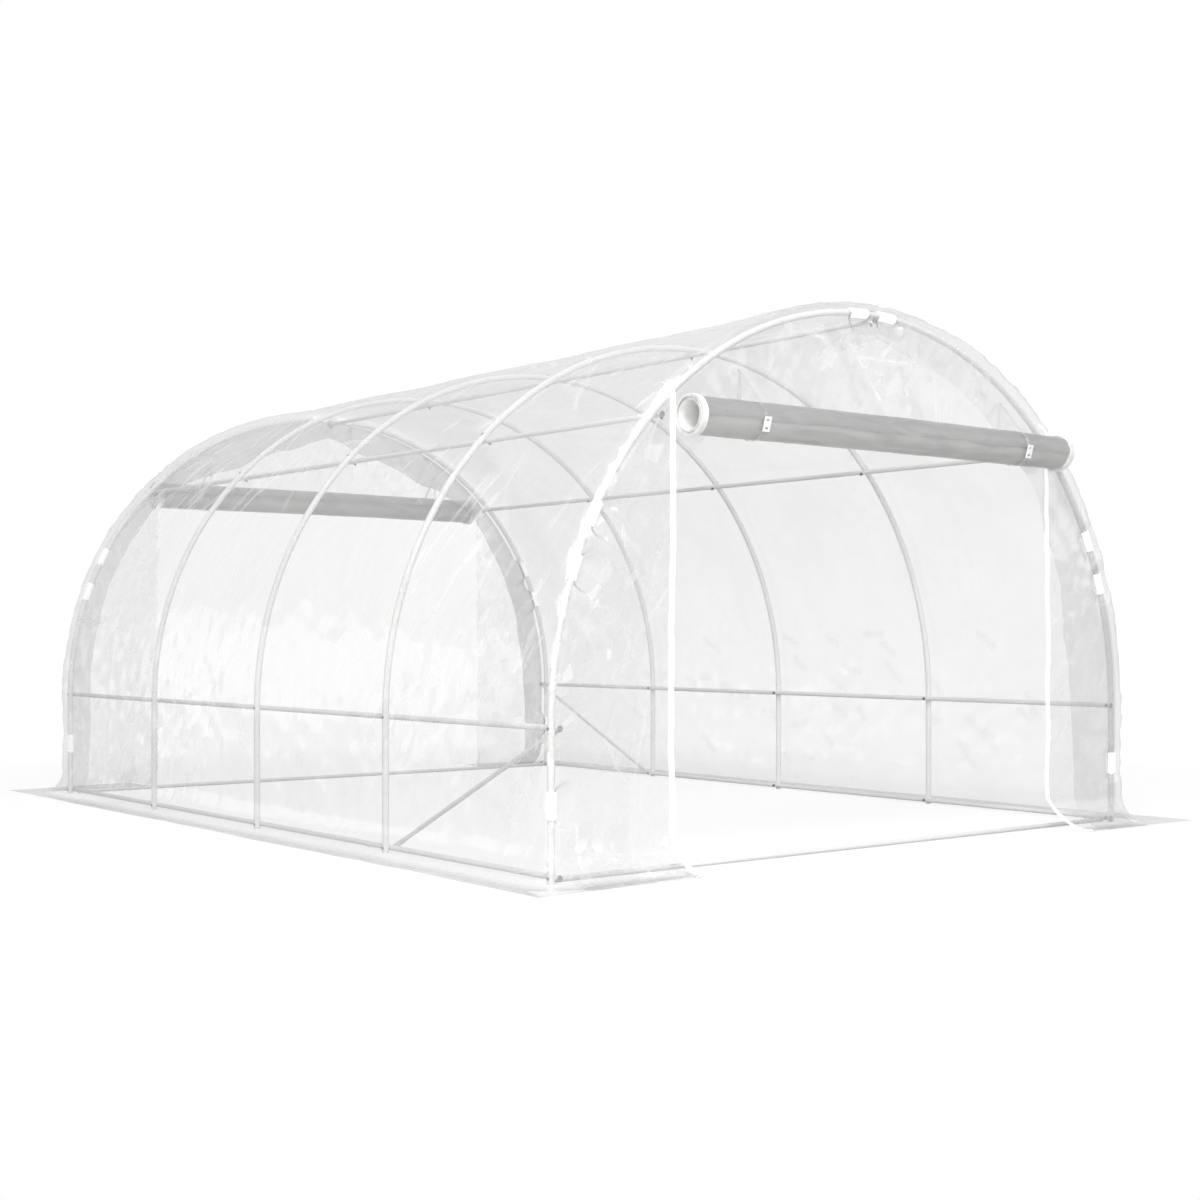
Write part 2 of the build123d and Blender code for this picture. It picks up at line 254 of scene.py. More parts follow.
def scattered(count, low, high, heading, spread, lengths, seed):
    """Random bent lines inside a box of two coordinates, all near one heading."""
    rng = np.random.default_rng(seed)
    lines = []
    for _ in range(count):
        at = rng.uniform(low, high)
        way = heading + rng.normal(0, spread)
        length = rng.uniform(*lengths)
        bend = rng.normal(0, 0.18)
        mid = at + 0.5 * length * np.array([cos(way), sin(way)])
        end = mid + 0.5 * length * np.array([cos(way + bend), sin(way + bend)])
        lines.append([at, mid, end])
    return lines


def grid_faces(rows, cols, wrap=False):
    """Quads between neighbouring rows and columns of points."""
    r, c = np.meshgrid(np.arange(rows - 1), np.arange(cols if wrap else cols - 1), indexing="ij")
    n = (c + 1) % cols
    quads = np.stack([r * cols + c, r * cols + n, (r + 1) * cols + n, (r + 1) * cols + c], axis=-1)
    return quads.reshape(-1, 4)


def merged(parts):
    """One (points, faces) from several; faces may have different counts."""
    points, faces, start = [], [], 0
    for p, f in parts:
        points.append(np.asarray(p, float))
        faces += [[i + start for i in face] for face in (f.tolist() if hasattr(f, "tolist") else f)]
        start += len(p)
    return np.concatenate(points), faces


def make(name, shape, material, replaces=(), smooth=True, sharp=None, marks=None):
    """An object that rides on the frame, from (points, faces); marks are named numbers at its points."""
    points, faces = shape
    data = bpy.data.meshes.new(name)
    data.from_pydata(np.asarray(points).tolist(), [], faces.tolist() if hasattr(faces, "tolist") else faces)
    data.validate()
    if smooth:
        data.shade_smooth()
    if sharp is not None:
        data.set_sharp_from_angle(angle=radians(sharp))
    for word, values in (marks or {}).items():
        values = np.ravel(values) if np.ndim(values) else np.full(len(points), values)
        data.attributes.new(word, "FLOAT", "POINT").data.foreach_set("value", values.astype(np.float32))
    data.materials.append(material)
    obj = bpy.data.objects.new(name, data)
    bpy.context.scene.collection.objects.link(obj)
    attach(obj, "root")
    if replaces:
        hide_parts(*replaces)
    return obj


def make_film(name, grid, material, replaces, marks):
    """A sheet of film over a grid of points."""
    shape = grid.reshape(-1, 3), grid_faces(*grid.shape[:2])
    return make(name, shape, material, replaces, marks=marks)


def circle(sides):
    return np.linspace(0, 2 * pi, sides, endpoint=False)


def bar(rings):
    """Closed bar through rings of points."""
    points, count = np.concatenate(rings), len(rings[0])
    faces = grid_faces(len(rings), count, wrap=True).tolist()
    return points, faces + [list(range(count))[::-1], list(range(len(points) - count, len(points)))]


def swept(line, tangents, across, radii, sides):
    """Round bar along a plane line; across is the direction square to that plane."""
    line, across = np.asarray(line, float), np.asarray(across, float)
    out = np.cross(np.asarray(tangents, float), across)[:, None]
    c, s = (f(circle(sides))[None, :, None] for f in (np.cos, np.sin))
    return bar(line[:, None] + np.asarray(radii)[:, None, None] * (c * out + s * across))


def turned(profile, sides):
    """Solid of revolution about Z from (radius, height) points, closed on the axis."""
    c, s = np.cos(circle(sides)), np.sin(circle(sides))
    return bar([np.stack([r * c, r * s, np.full(sides, float(z))], 1) for r, z in profile])


def directions(line):
    """Unit vectors along a line of points, and square to it and to X."""
    ways = np.gradient(line, axis=0)
    ways /= np.linalg.norm(ways, axis=1)[:, None]
    return ways, np.cross(ways, [1.0, 0, 0])


def ribbon(line, half_width):
    """Flat strip of tape along a line of points, its width along X."""
    across, out = np.array([half_width, 0, 0]), directions(line)[1] * TAPE_THICK / 2
    return bar([np.array([p + across * i + n * j for i, j in ((1, 1), (-1, 1), (-1, -1), (1, -1))])
                for p, n in zip(line, out)])


def placed(shape, origin, z_dir, turn=0.0):
    """The shape with its Z axis along z_dir, at origin."""
    turn_matrix = Vector(z_dir).normalized().to_track_quat("Z", "Y").to_matrix()
    spin = np.array([[cos(turn), -sin(turn), 0], [sin(turn), cos(turn), 0], [0, 0, 1]])
    return np.asarray(shape[0]) @ spin.T @ np.array(turn_matrix).T + np.array(origin), shape[1]


def feed(tree, made, inputs):
    """Links or sets the inputs of a shader node."""
    for key, value in inputs.items():
        if isinstance(value, bpy.types.NodeSocket):
            tree.links.new(value, made.inputs[key])
        else:
            made.inputs[key].default_value = value


def node(tree, kind, inputs=None, out=0, **settings):
    """One output of a new shader node."""
    made = tree.nodes.new("ShaderNode" + kind)
    for key, value in settings.items():
        setattr(made, key, value)
    feed(tree, made, inputs or {})
    return made.outputs[out]


def maths(operation, a, b, clamp=False):
    return node(a.id_data, "Math", {0: a, 1: b}, operation=operation, use_clamp=clamp)


def add(a, b):
    return maths("ADD", a, b)


def times(a, b):
    return maths("MULTIPLY", a, b)


def vectors(operation, a, b, key=1):
    return node(a.id_data, "VectorMath", {0: a, key: b}, operation=operation)


def span(value, low, high, to_low=0.0, to_high=1.0):
    inputs = {"Value": value, "From Min": low, "From Max": high, "To Min": to_low, "To Max": to_high}
    return node(value.id_data, "MapRange", inputs)


def blend(value, dark, light):
    """Colour between dark and light."""
    return node(value.id_data, "Mix", {0: value, 6: dark, 7: light}, 2, data_type="RGBA")


def grey(value):
    return (value, value, value * 0.995, 1)


def mottle(place, scale, detail=2.0, rough=0.5, twist=0.0):
    inputs = {"Vector": place, "Scale": scale, "Detail": detail, "Roughness": rough, "Distortion": twist}
    return node(place.id_data, "TexNoise", inputs)


def bump(height, strength, distance):
    return node(height.id_data, "Bump", {"Height": height, "Strength": strength, "Distance": distance})


def marked(tree, word):
    """The numbers of that name at a mesh's points."""
    return node(tree, "Attribute", out="Fac", attribute_name=word)


def layered(amount, below, above):
    return node(amount.id_data, "MixShader", {0: amount, 1: below, 2: above})


def new_material(name):
    material = bpy.data.materials.new(name)
    material.use_nodes = True
    tree = material.node_tree
    return material, tree, node(tree, "TexCoord", out="Object")


def surface(tree, colour, roughness, normal, glow=0.0, **more):
    """The Principled shader's output; more names other inputs, with _ for a space."""
    shader = tree.nodes["Principled BSDF"]
    feed(tree, shader, {"Base Color": colour, "Roughness": roughness, "Normal": normal,
                        "Emission Color": WHITE, "Emission Strength": glow})
    feed(tree, shader, {key.replace("_", " "): value for key, value in more.items()})
    return shader.outputs[0]


def finish(tree, shader):
    feed(tree, tree.nodes["Material Output"], {"Surface": shader})


def film_patterns(tree, place):
    """Soft clouds, the colours of crumpled facets and drawn-out grain."""
    def drawn(length):
        inputs = {"Vector": place, "Rotation": FILM_GRAIN, "Scale": (1.0, 1.0, length)}
        return node(tree, "Mapping", inputs, vector_type="TEXTURE")

    cloud = mottle(place, 2.7, 3.0, 0.6)
    bent = node(tree, "VectorMath", {0: cloud.node.outputs["Color"], 1: (0.16, 0.16, 0.16), 2: drawn(3.0)},
                operation="MULTIPLY_ADD")
    facets = node(tree, "TexVoronoi", {"Vector": bent, "Scale": 28.0}, "Color")
    return cloud, facets, mottle(drawn(11.0), 24.0)


def film_normal(tree, rumple, facets, grain):
    """The film's normal, tilted by its facets and ribbed by its grain."""
    lean = vectors("SUBTRACT", facets, (0.5, 0.5, 0.5))
    lean = vectors("SCALE", lean, times(rumple, 0.17), "Scale")
    tilted = vectors("ADD", node(tree, "NewGeometry", out="Normal"), lean)
    tilted = node(tree, "VectorMath", {0: tilted}, operation="NORMALIZE")
    return node(tree, "Bump", {"Height": grain, "Strength": 0.3, "Distance": 0.004, "Normal": tilted})


def film_material(name, haze, tone, facet_shading=1.0, ground_shade_haze=0.42, roof_haze=0.0, ground_shade_tone=1.0):
    """Clear film: thin haze, crumpled facets that catch the lamps, the brightest painted white as glints,
    drawn-out streaks of painted highlight, painted facet shading, and painted shade where it lies on the
    ground.

    The mesh says how much of each: rumple, highlight_streaks, mark (lighter above 0: white creases, partly
    painted highlight, and painted glare; darker below) and fade.
    """
    material, tree, place = new_material(name)
    rumple, highlight_streaks, mark, fade = (marked(tree, word) for word in ("rumple", "highlight_streaks", "mark", "fade"))
    cloud, facets, grain = film_patterns(tree, place)
    cell = node(tree, "SeparateColor", {0: facets})
    height = node(tree, "SeparateXYZ", {0: place}, "Z")

    # Painted highlights: the brightest facets, the streaks and the white marks make the film whiter and
    # thicker.
    painted_glint = times(rumple, span(cell, 0.82, 1.0, 0.0, 0.75))
    streak = times(highlight_streaks, span(grain, 0.53, 0.66))
    light = maths("MAXIMUM", maths("MAXIMUM", painted_glint, streak), mark, clamp=True)
    dark = maths("MULTIPLY", mark, -1.0, clamp=True)

    # Painted shade: more haze on film lying within 12 mm of the ground.
    even = add(add(span(height, 0.012, 0.0, 0.0, ground_shade_haze), haze), span(height, 1.0, 1.6, 0.0, roof_haze))
    # Crumpled facets a little thicker or thinner at random: painted facet shading.
    rough = times(rumple, span(cell, 0.0, 1.0, -0.07 * facet_shading, 0.09 * facet_shading))
    thick = add(times(span(cloud, 0.32, 0.68, 0.85, 1.15), even), rough)
    thick = times(thick, span(fade, 0.0, 1.0, 1.0, 0.0))
    thick = maths("ADD", add(thick, times(light, 0.24)), times(dark, 0.09), clamp=True)
    edge_on = maths("POWER", node(tree, "LayerWeight", {"Blend": 0.5}, "Facing"), 3.0)
    thick = maths("ADD", thick, times(edge_on, 0.30), clamp=True)

    # Painted shade: film lying on the ground is darker.
    ground_shade = span(height, 0.012, 0.0, 1.0, ground_shade_tone)
    colour = vectors("SCALE", blend(light, grey(tone), grey(0.98)), ground_shade, "Scale")
    raised = film_normal(tree, rumple, facets, grain)
    hazed = layered(thick, node(tree, "BsdfTransparent"),
                    surface(tree, colour, 0.5, raised, Specular_IOR_Level=0.2))
    shine = node(tree, "BsdfGlossy", {"Color": WHITE, "Roughness": 0.14, "Normal": raised})
    facing = node(tree, "LayerWeight", {"Blend": 0.5, "Normal": raised}, "Facing")
    finish(tree, layered(span(maths("POWER", facing, 5.0), 0.0, 1.0, 0.05, 0.45), hazed, shine))
    return material


def tube_material(name, tone):
    """Satin light grey powder coat with a faint orange peel."""
    material, tree, place = new_material(name)
    cloud = mottle(place, 6.0, 3.0)
    surface(tree, blend(cloud, grey(tone - 0.04), grey(tone + 0.02)), span(cloud, 0.3, 0.7, 0.42, 0.55),
            bump(mottle(place, 420.0), 0.25, 0.0004), Specular_IOR_Level=0.25)
    return material


def plastic_material(name, dark, light, roughness, scale=60.0, glow=0.0):
    """Moulded plastic with a slight mottle; glow is painted light that keeps white plastic bright in shade.
    """
    material, tree, place = new_material(name)
    cloud = mottle(place, scale, 5.0)
    surface(tree, blend(cloud, grey(dark), grey(light)), roughness, bump(cloud, 0.2, 0.0005), glow)
    return material


def steel_material():
    """Zinc-plated bolts."""
    material, tree, place = new_material("bolt_steel")
    cloud = mottle(place, 300.0, 4.0)
    surface(tree, blend(cloud, grey(0.16), grey(0.30)), span(cloud, 0.3, 0.7, 0.35, 0.6),
            bump(cloud, 0.3, 0.0003), Metallic=0.6)
    return material


def woven_material(name, tone, pitch):
    """Woven tape: two crossed sets of threads, and a painted glow that keeps white tape bright in shade."""
    material, tree, place = new_material(name)
    inputs = {"Vector": place, "Scale": pitch, "Distortion": 0.3}
    x, y, z = (node(tree, "TexWave", inputs, "Fac", bands_direction=way) for way in "XYZ")
    weave = times(add(x, y), z)
    surface(tree, blend(weave, grey(tone - 0.08), grey(tone)), 0.75, bump(weave, 0.4, 0.0006), 0.34,
            Sheen_Weight=0.15)
    return material


def rolled_material():
    """Door film in many turns: grey and glossy, darker where its edge is doubled, pale inside with a faint
    painted glow.
    """
    material, tree, place = new_material("rolled_film")
    stretched = node(tree, "Mapping", {"Vector": place, "Scale": (1.0, 5.0, 5.0)})
    marble = mottle(stretched, 3.5, 5.0, twist=1.2)
    streak = mottle(place, 26.0, 3.0, twist=1.0)
    inside = marked(tree, "inside")
    light, dark = blend(marble, grey(0.60), grey(0.68)), blend(marble, grey(0.37), grey(0.44))
    colour = blend(inside, blend(marked(tree, "doubled"), light, dark), grey(0.92))
    raised = bump(add(times(marble, 0.7), times(streak, 0.3)), 0.5, 0.010)
    # The inner turns glow a little: painted light.
    film = surface(tree, colour, 0.28, raised, times(inside, 0.12), IOR=1.6)
    finish(tree, layered(span(marble, 0.3, 0.7, 0.55, 0.72), node(tree, "BsdfTransparent"), film))
    return material


def floor_material():
    """White floor that keeps a soft shadow near the object."""
    material, tree, place = new_material("studio_floor")
    shader = tree.nodes["Principled BSDF"]
    feed(tree, shader, {"Base Color": blend(mottle(place, 0.8), grey(0.64), grey(0.66)), "Roughness": 0.9,
                        "Specular IOR Level": 0.0})
    glow = node(tree, "Emission", {"Color": WHITE, "Strength": FLOOR_GLOW})
    soft = node(tree, "BsdfDiffuse", {"Color": grey(FLOOR_SHADE)})
    lit = node(tree, "AddShader", {0: soft, 1: glow})
    reach = node(tree, "VectorMath", {0: place}, "Value", operation="LENGTH")
    white = node(tree, "Emission", {"Color": WHITE, "Strength": 1.0})
    seen = layered(span(reach, *FLOOR_REACH, 1.0, 0.0), white, lit)
    path = node(tree, "LightPath", out="Is Camera Ray")
    finish(tree, layered(maths("MAXIMUM", path, path.node.outputs["Is Glossy Ray"]), shader.outputs[0], seen))
    return material


TUBE = tube_material("hoop_paint", 0.92)
# Rails and braces: a darker grey than the hoops' coat, as painted shade.
RAIL = tube_material("rail_paint_and_shade", 0.82)
CAP_GREY = plastic_material("cap_plastic", 0.30, 0.42, 0.5)
# Clips and zip teeth glow: painted light that keeps them white in shade.
CLIP = plastic_material("clip_plastic", 0.95, 1.0, 0.35, glow=0.25)
BUCKLE = plastic_material("buckle_plastic", 0.93, 0.98, 0.4)
TEETH = plastic_material("zip_teeth", 0.92, 0.99, 0.35, 400.0, glow=0.28)
STEEL = steel_material()
TAPE = woven_material("zip_tape", 0.99, 240.0)
STRAP = film_material("strap_film", 0.15, 0.50)
# The ground numbers of these films paint shade on film lying on the ground.
COVER_FILM = film_material("cover_film", 0.17, 0.58, roof_haze=0.02, ground_shade_tone=0.90)
WALL_FILM = film_material("wall_film", 0.17, 0.60, facet_shading=1.3, ground_shade_haze=0.60, ground_shade_tone=0.74)
HEM_FILM = film_material("hem_film", 0.42, 0.44, ground_shade_haze=0.0)
ROLLED = rolled_material()
# The rolled zip tape glows a little: painted light.
RIM = plastic_material("rolled_zip_tape", 0.45, 1.0, 0.6, 42.0, glow=0.12)


def sleeve(reach, raised, gap):
    """Offsets along a tube and steps of its radius at a joint: a sleeve's lip, then a narrow groove."""
    return ((-reach, 0.0), (0.003 - reach, raised), (-gap - 0.0006, raised), (-gap, -GROOVE), (gap, -GROOVE),
            (gap + 0.0004, 0.0))


def hoop_line():
    """Stations along a hoop: points, tangents and radii, with the joint grooves."""
    arc = HOOP_X * pi
    total = 2 * ARCH_Z + arc
    joints = [(JOINT_Z, 1), (total - JOINT_Z, -1)]
    joints += [(ARCH_Z + HOOP_X * ARCH_JOINT, -1), (total - ARCH_Z - HOOP_X * ARCH_JOINT, 1)]
    stations = list(np.linspace(0, ARCH_Z, 8)) + list(np.linspace(ARCH_Z, ARCH_Z + arc, 110))[1:]
    stations += list(np.linspace(ARCH_Z + arc, total, 8))[1:]
    steps = sleeve(0.055, 0.0006, 0.0010)
    grown = {joint + way * offset: more for joint, way in joints for offset, more in steps}
    kept = [s for s in stations if all(abs(s - joint) > 0.058 for joint, _ in joints)]
    points, tangents, radii = [], [], []
    for s in sorted(kept + list(grown)):
        if s < ARCH_Z:
            points.append((-HOOP_X, 0, s))
            tangents.append((0, 0, 1))
        elif s > total - ARCH_Z:
            points.append((HOOP_X, 0, total - s))
            tangents.append((0, 0, -1))
        else:
            a = (s - ARCH_Z) / HOOP_X
            points.append((-HOOP_X * cos(a), 0, ARCH_Z + HOOP_X * sin(a)))
            tangents.append((sin(a), 0, cos(a)))
        radii.append(HOOP_R + grown.get(s, 0.0))
    return np.array(points), tangents, radii


def hoops():
    points, tangents, radii = hoop_line()
    for n, y in enumerate(HOOP_Y, start=1):
        shape = swept(points + np.array([0, y, 0]), tangents, (0, 1, 0), radii, 24)
        make(f"hoop_{n}_tube", shape, TUBE, [f"hoop_{n}_legs", f"hoop_{n}_arch"], sharp=40)


def straight_tube(start, end, radius, joints, sides=20):
    """Round tube with a sleeve lip and a dark groove at each joint, given as distances along it."""
    start, end = np.array(start, float), np.array(end, float)
    length = np.linalg.norm(end - start)
    way = (end - start) / length
    worn, lip = radius - 0.0006, 0.0008
    stations = [(0.0, worn), (lip, radius), (length - lip, radius), (length, worn)]
    steps = sleeve(0.045, 0.0007, 0.0009)
    stations += [(joint + offset, radius + more) for joint in joints for offset, more in steps]
    stations.sort()
    line = [start + way * s for s, _ in stations]
    return swept(line, [way] * len(line), np.cross(way, (0, 0, 1)), [r for _, r in stations], sides)


def rails():
    """Lengthwise rails, each of several tubes with sleeve joints between hoops, and the sill rails."""
    runs = [(name, Vector((0, RAIL_END, 0)), RAIL_R, RAIL_JOINTS) for name in RAILS]
    for word in ENDS:
        half = half_size(word + "_sill_rail")
        runs.append((word + "_sill_rail", Vector((half.x, 0, 0)), half.z, SILL_JOINTS))
    for name, half, radius, joints in runs:
        start, end = middle(name) - half, middle(name) + half
        shape = straight_tube(start, end, radius, [half.length + joint for joint in joints])
        make(name + "_tube", shape, RAIL, [name], sharp=40)


def brace(name, end):
    """Corner tube with ends pressed flat around its bolts."""
    x = middle(name).x
    knee = np.array([x, end * END_Y, KNEE_Z])
    run = np.array([x, end * (END_Y - BAY), BASE_Z]) - knee
    length = np.linalg.norm(run)
    way = run / length
    wide = np.cross(way, (1, 0, 0))
    half = [(-0.0125, 0.0010, 0.004), (-0.0105, 0.0014, 0.0078), (-0.005, 0.0015, 0.0102),
            (0.030, 0.0015, 0.0108), (0.045, 0.0021, 0.0106), (0.058, 0.0042, 0.0096),
            (0.072, 0.0066, 0.0086), (0.088, BRACE_R, BRACE_R)]
    stations = half + [(length / 2, BRACE_R, BRACE_R)] + [(length - d, t, w) for d, t, w in reversed(half)]
    c, s = np.cos(circle(24)), np.sin(circle(24))
    rings = []
    for d, thick, width in stations:
        flat = np.sign(c) * np.abs(c) ** (0.55 if thick < BRACE_R else 1.0)
        rings.append(knee + way * d + np.outer(flat * thick, (1, 0, 0)) + np.outer(s * width, wide))
    make(name + "_tube", bar(rings), RAIL, [name], sharp=50)


BOLT_HEAD = turned([(0.0001, 0.0036), (0.0022, 0.0034), (0.0042, 0.0026), (0.0056, 0.0012), (0.0060, 0.0),
                    (0.0060, -0.0006), (0.0030, -0.0008), (0.0030, -0.004)], 18)
NUT = turned([(0.0001, 0.0120), (0.0022, 0.0118), (0.0028, 0.0110), (0.0029, 0.0060), (0.0046, 0.0058),
              (0.0055, 0.0050), (0.0055, 0.0016), (0.0046, 0.0011), (0.0068, 0.0010), (0.0070, 0.0006),
              (0.0070, 0.0), (0.0029, 0.0)], 18)
CAP = turned([(RAIL_R - 0.0015, -0.012), (RAIL_R - 0.0013, 0.0), (RAIL_R + 0.0008, 0.0),
              (RAIL_R + 0.0010, 0.0008), (RAIL_R + 0.0008, 0.0022), (RAIL_R - 0.0004, 0.0030),
              (RAIL_R - 0.0020, 0.0030), (RAIL_R - 0.0030, 0.0022), (RAIL_R - 0.0042, 0.0021),
              (RAIL_R - 0.0060, 0.0027), (0.0012, 0.0029), (0.0001, 0.0029)], 24)


def bolts():
    """A domed bolt through every hoop and rail crossing, its nut on the inner side."""
    for name in RAILS:
        centre = middle(name)
        out = Vector((centre.x, 0, max(0.0, centre.z - ARCH_Z)))
        out = out.normalized() if centre.z > ARCH_Z else Vector((1 if centre.x > 0 else -1, 0, 0))
        parts = []
        for n, y in enumerate(HOOP_Y):
            at = Vector((centre.x, y, centre.z))
            inside = at - out * (RAIL_R - 0.0004)
            if (name, n) in BRACED:
                inside -= out * BRACE_STEEL
            parts.append(placed(BOLT_HEAD, at + out * (RAIL_R + 2 * HOOP_R), out))
            parts.append(placed(NUT, inside, -out, 0.4 * n))
        make(name.replace("rail", "bolts"), merged(parts), STEEL, sharp=35)


def caps():
    for word, end in ENDS.items():
        parts = [placed(CAP, (middle(name).x, end * RAIL_END, middle(name).z), (0, end, 0)) for name in RAILS]
        make(word + "_caps", merged(parts), CAP_GREY, [word + "_rail_caps"], sharp=40)


def clip_shape(line, raised, outs, lean):
    """Ribbed C clip along the given points, open towards the inside of the tunnel, turned by lean."""
    turns = lean + np.radians(np.linspace(-CLIP_OPEN, CLIP_OPEN, 21))
    c, s = np.cos(turns)[:, None], np.sin(turns)[:, None]
    inner, outer = CLIP_RADII
    rings = []
    for point, out, more in zip(line, outs, raised):
        back = c * out + s * np.array([0.0, 1.0, 0.0])
        outside, inside = point + (outer + RIB_HEIGHT * more) * back, point + inner * back
        rings.append(np.concatenate([outside, inside[::-1]]))
    points, count = np.concatenate(rings), len(rings[0])
    faces = grid_faces(len(rings), count, wrap=True).tolist()
    for first, way in ((0, 1), (len(points) - count, -1)):
        faces += [[first + i, first + i + 1, first + count - 2 - i, first + count - 1 - i][::way]
                  for i in range(len(turns) - 1)]
    return points, faces


def clip(s, end, along, raised):
    """One clip at s along the hoop, bent as the hoop is there."""
    if abs(s) > QUARTER:
        outs = np.tile([np.sign(s), 0.0, 0.0], (len(along), 1))
        line = outs * HOOP_X + np.array([0, end * END_Y, CLIP_LEG_Z])
        line[:, 2] += along
    else:
        a = s / FILM_R + along / HOOP_X
        outs = np.stack([np.sin(a), np.zeros(len(a)), np.cos(a)], 1)
        line = outs * HOOP_X + np.array([0, end * END_Y, ARCH_Z])
    return clip_shape(line, raised, outs, CLIP_LEAN[end])


def clips():
    pitch = 2 * CLIP_HALF / CLIP_RIBS
    shares = [(n, share) for n in range(CLIP_RIBS) for share, _ in RIB_SHAPE]
    along = np.array([-CLIP_HALF + n * pitch + share * pitch for n, share in shares])
    raised = [more for _ in range(CLIP_RIBS) for _, more in RIB_SHAPE]
    for word, end in ENDS.items():
        parts = [clip(s, end, along, raised) for s in CLIP_S]
        make(word + "_clips", merged(parts), CLIP, [word + "_film_clips"], sharp=35)


def flare(v):
    """Outward distance and height of the film, v past the point where it starts to turn out."""
    a = np.clip(v / FLARE, 0, pi / 2)
    flat = np.clip(v - FLARE_RUN, 0, None)
    return FLARE * (1 - np.cos(a)), FLARE * (1 - np.sin(a)), flat


def outline(s):
    """Line across the tunnel: x, z down to the flare, normal, side and run past the flare's start."""
    side = np.where(s < 0, -1.0, 1.0)
    a = np.abs(s)
    angle = np.minimum(a, QUARTER) / FILM_R
    nx, nz = side * np.sin(angle), np.cos(angle)
    z = ARCH_Z + FILM_R * nz - np.clip(a - QUARTER, 0, WALL_DROP)
    return FILM_R * nx, z, nx, np.where(a >= QUARTER, 0, nz), side, np.clip(a - QUARTER - WALL_DROP, 0, None)


def arch_angle(s):
    """Degrees up the arch from the leg's top, below 0 on the leg."""
    past = np.clip(np.abs(s) - QUARTER, 0, 1)
    return 90 - np.degrees(np.minimum(np.abs(s), QUARTER) / FILM_R) - np.degrees(past / FILM_R)


def side_edge(side, y):
    """Outer edge of the skirt beside the tunnel, at y."""
    front, rear = SKIRT_CORNERS[(side, -1)], SKIRT_CORNERS[(side, 1)]
    t = np.clip((y - front[1]) / (rear[1] - front[1]), 0, 1)
    ripple = 0.006 * noise(y, side * 3.0, 0.35, 71) * np.sin(pi * t)
    return np.abs(front[0] + t * (rear[0] - front[0])) + ripple


def end_edge(end, x):
    """Outer edge of the skirt at an end, at x."""
    left, right = SKIRT_CORNERS[(-1, end)], SKIRT_CORNERS[(1, end)]
    t = np.clip((x - left[0]) / (right[0] - left[0]), 0, 1)
    ripple = 0.006 * noise(x, end * 5.0, 0.3, 72) * np.sin(pi * t)
    return np.abs(left[1] + t * (right[1] - left[1])) + ripple


def grip(s):
    """1 where a clip presses the film on the hoop, fading to 0 beside it."""
    total = np.zeros_like(np.asarray(s, float))
    for centre in CLIP_S:
        loose = smooth_step(np.abs(s - centre), CLIP_HALF + 0.004, CLIP_HALF + GRIP_FADE)
        total = np.maximum(total, 1 - loose)
    return total


def end_lift(s):
    """How far the cover stands up over an end hoop."""
    return END_LIFT[0] + (END_LIFT[1] - END_LIFT[0]) * smooth_step(s, 0.1, 0.9)


def ground_wave(u, v):
    """Low ripples of film lying on the ground."""
    return ON_GROUND + 0.006 * (0.5 + 0.5 * noise(u, v, 0.16, 91)) * (0.5 + 0.5 * noise(u, v, 0.5, 92))


def cover_lift(s, y):
    """How far the cover stands off its smooth shape: sag between hoops, folds and crinkles."""
    share = ((y - HOOP_Y[0]) / BAY) % 1.0
    between = np.sin(pi * share) ** 2
    high = np.cos(np.clip(s / FILM_R, -pi / 2, pi / 2))
    wall = 1 - smooth_step(high, 0.0, 0.7)
    lift = -SAG * between * (0.7 + 0.3 * high)
    lift += 0.0030 * folds(s, y, radians(12), 0.070, 0.9, 11) * between * (0.35 + 0.65 * high)
    lift += 0.0022 * folds(s, y, radians(-25), 0.055, 0.6, 12) * between
    lift += 0.0042 * noise(s, y, 0.23, 13) * (0.35 + 0.65 * wall) * between
    lift += 0.0038 * (creases(s, y, 0.17, 14, 7) - 0.3) * (0.2 + 0.8 * wall) * (0.25 + 0.75 * between)
    lift += (0.0012 + 0.0020 * wall) * noise(s, y, 0.06, 15)
    return lift


def cover_marks(s, y, z):
    """How crumpled the cover is and how much painted streak highlight it has, at s across it and y along it.
    """
    left = s < 0
    low = 1 - smooth_step(z, 0.50, 1.15)
    patchy = smooth_step(noise(s, y, 0.34, 101) + 0.4 * noise(s, y, 0.12, 102), -0.35, 0.45)
    rumple = np.where(left, 0.08 + 0.60 * low * patchy, 0.02)
    ends = smooth_step(np.abs(y), 1.80, 1.98)
    rumple = np.maximum(rumple, 0.12 * ends * patchy)
    rumple = rumple * (0.3 + 0.7 * smooth_step(z, 0.02, 0.12))
    patch = smooth_step(noise(s, y, 0.42, 103), -0.15, 0.5)
    steep = smooth_step(z, 0.35, 0.75) * (1 - smooth_step(z, 1.70, 1.90))
    highlight_streaks = np.where(left, 0.7 * steep * patch, 0.06 * patch)
    return rumple, highlight_streaks


def cover_creases(s, y):
    """Bright creases of the left side and roof, partly whitened film and partly painted highlight,
    and short dark marks low on the right side.
    """
    low, high = np.array([-QUARTER - WALL_DROP, -1.9]), np.array([-0.5, 1.9])
    long_ones = scattered(34, low, high, radians(38), 0.35, (0.12, 0.55), 111)
    roof = scattered(14, np.array([-1.2, -1.9]), np.array([1.2, 1.9]), radians(62), 0.5, (0.15, 0.5), 112)
    light = np.maximum(0.45 * strokes(s, y, long_ones, 0.022), 0.15 * strokes(s, y, roof, 0.024))
    low, high = np.array([QUARTER - 0.35, -1.85]), np.array([QUARTER + WALL_DROP - 0.05, 1.85])
    dashes = scattered(44, low, high, radians(-58), 0.3, (0.05, 0.13), 113)
    return light, strokes(s, y, dashes, 0.024)


def around_clips(s, w, amount):
    """Small pleats that spread from each clip."""
    total = 0
    for n, centre in enumerate(CLIP_S):
        away = np.hypot(s - centre, w)
        angle = np.arctan2(w, s - centre)
        total = total + np.sin(11 * angle + n) * np.exp(-away / 0.13) * smooth_step(away, 0.02, 0.08)
    return amount * total


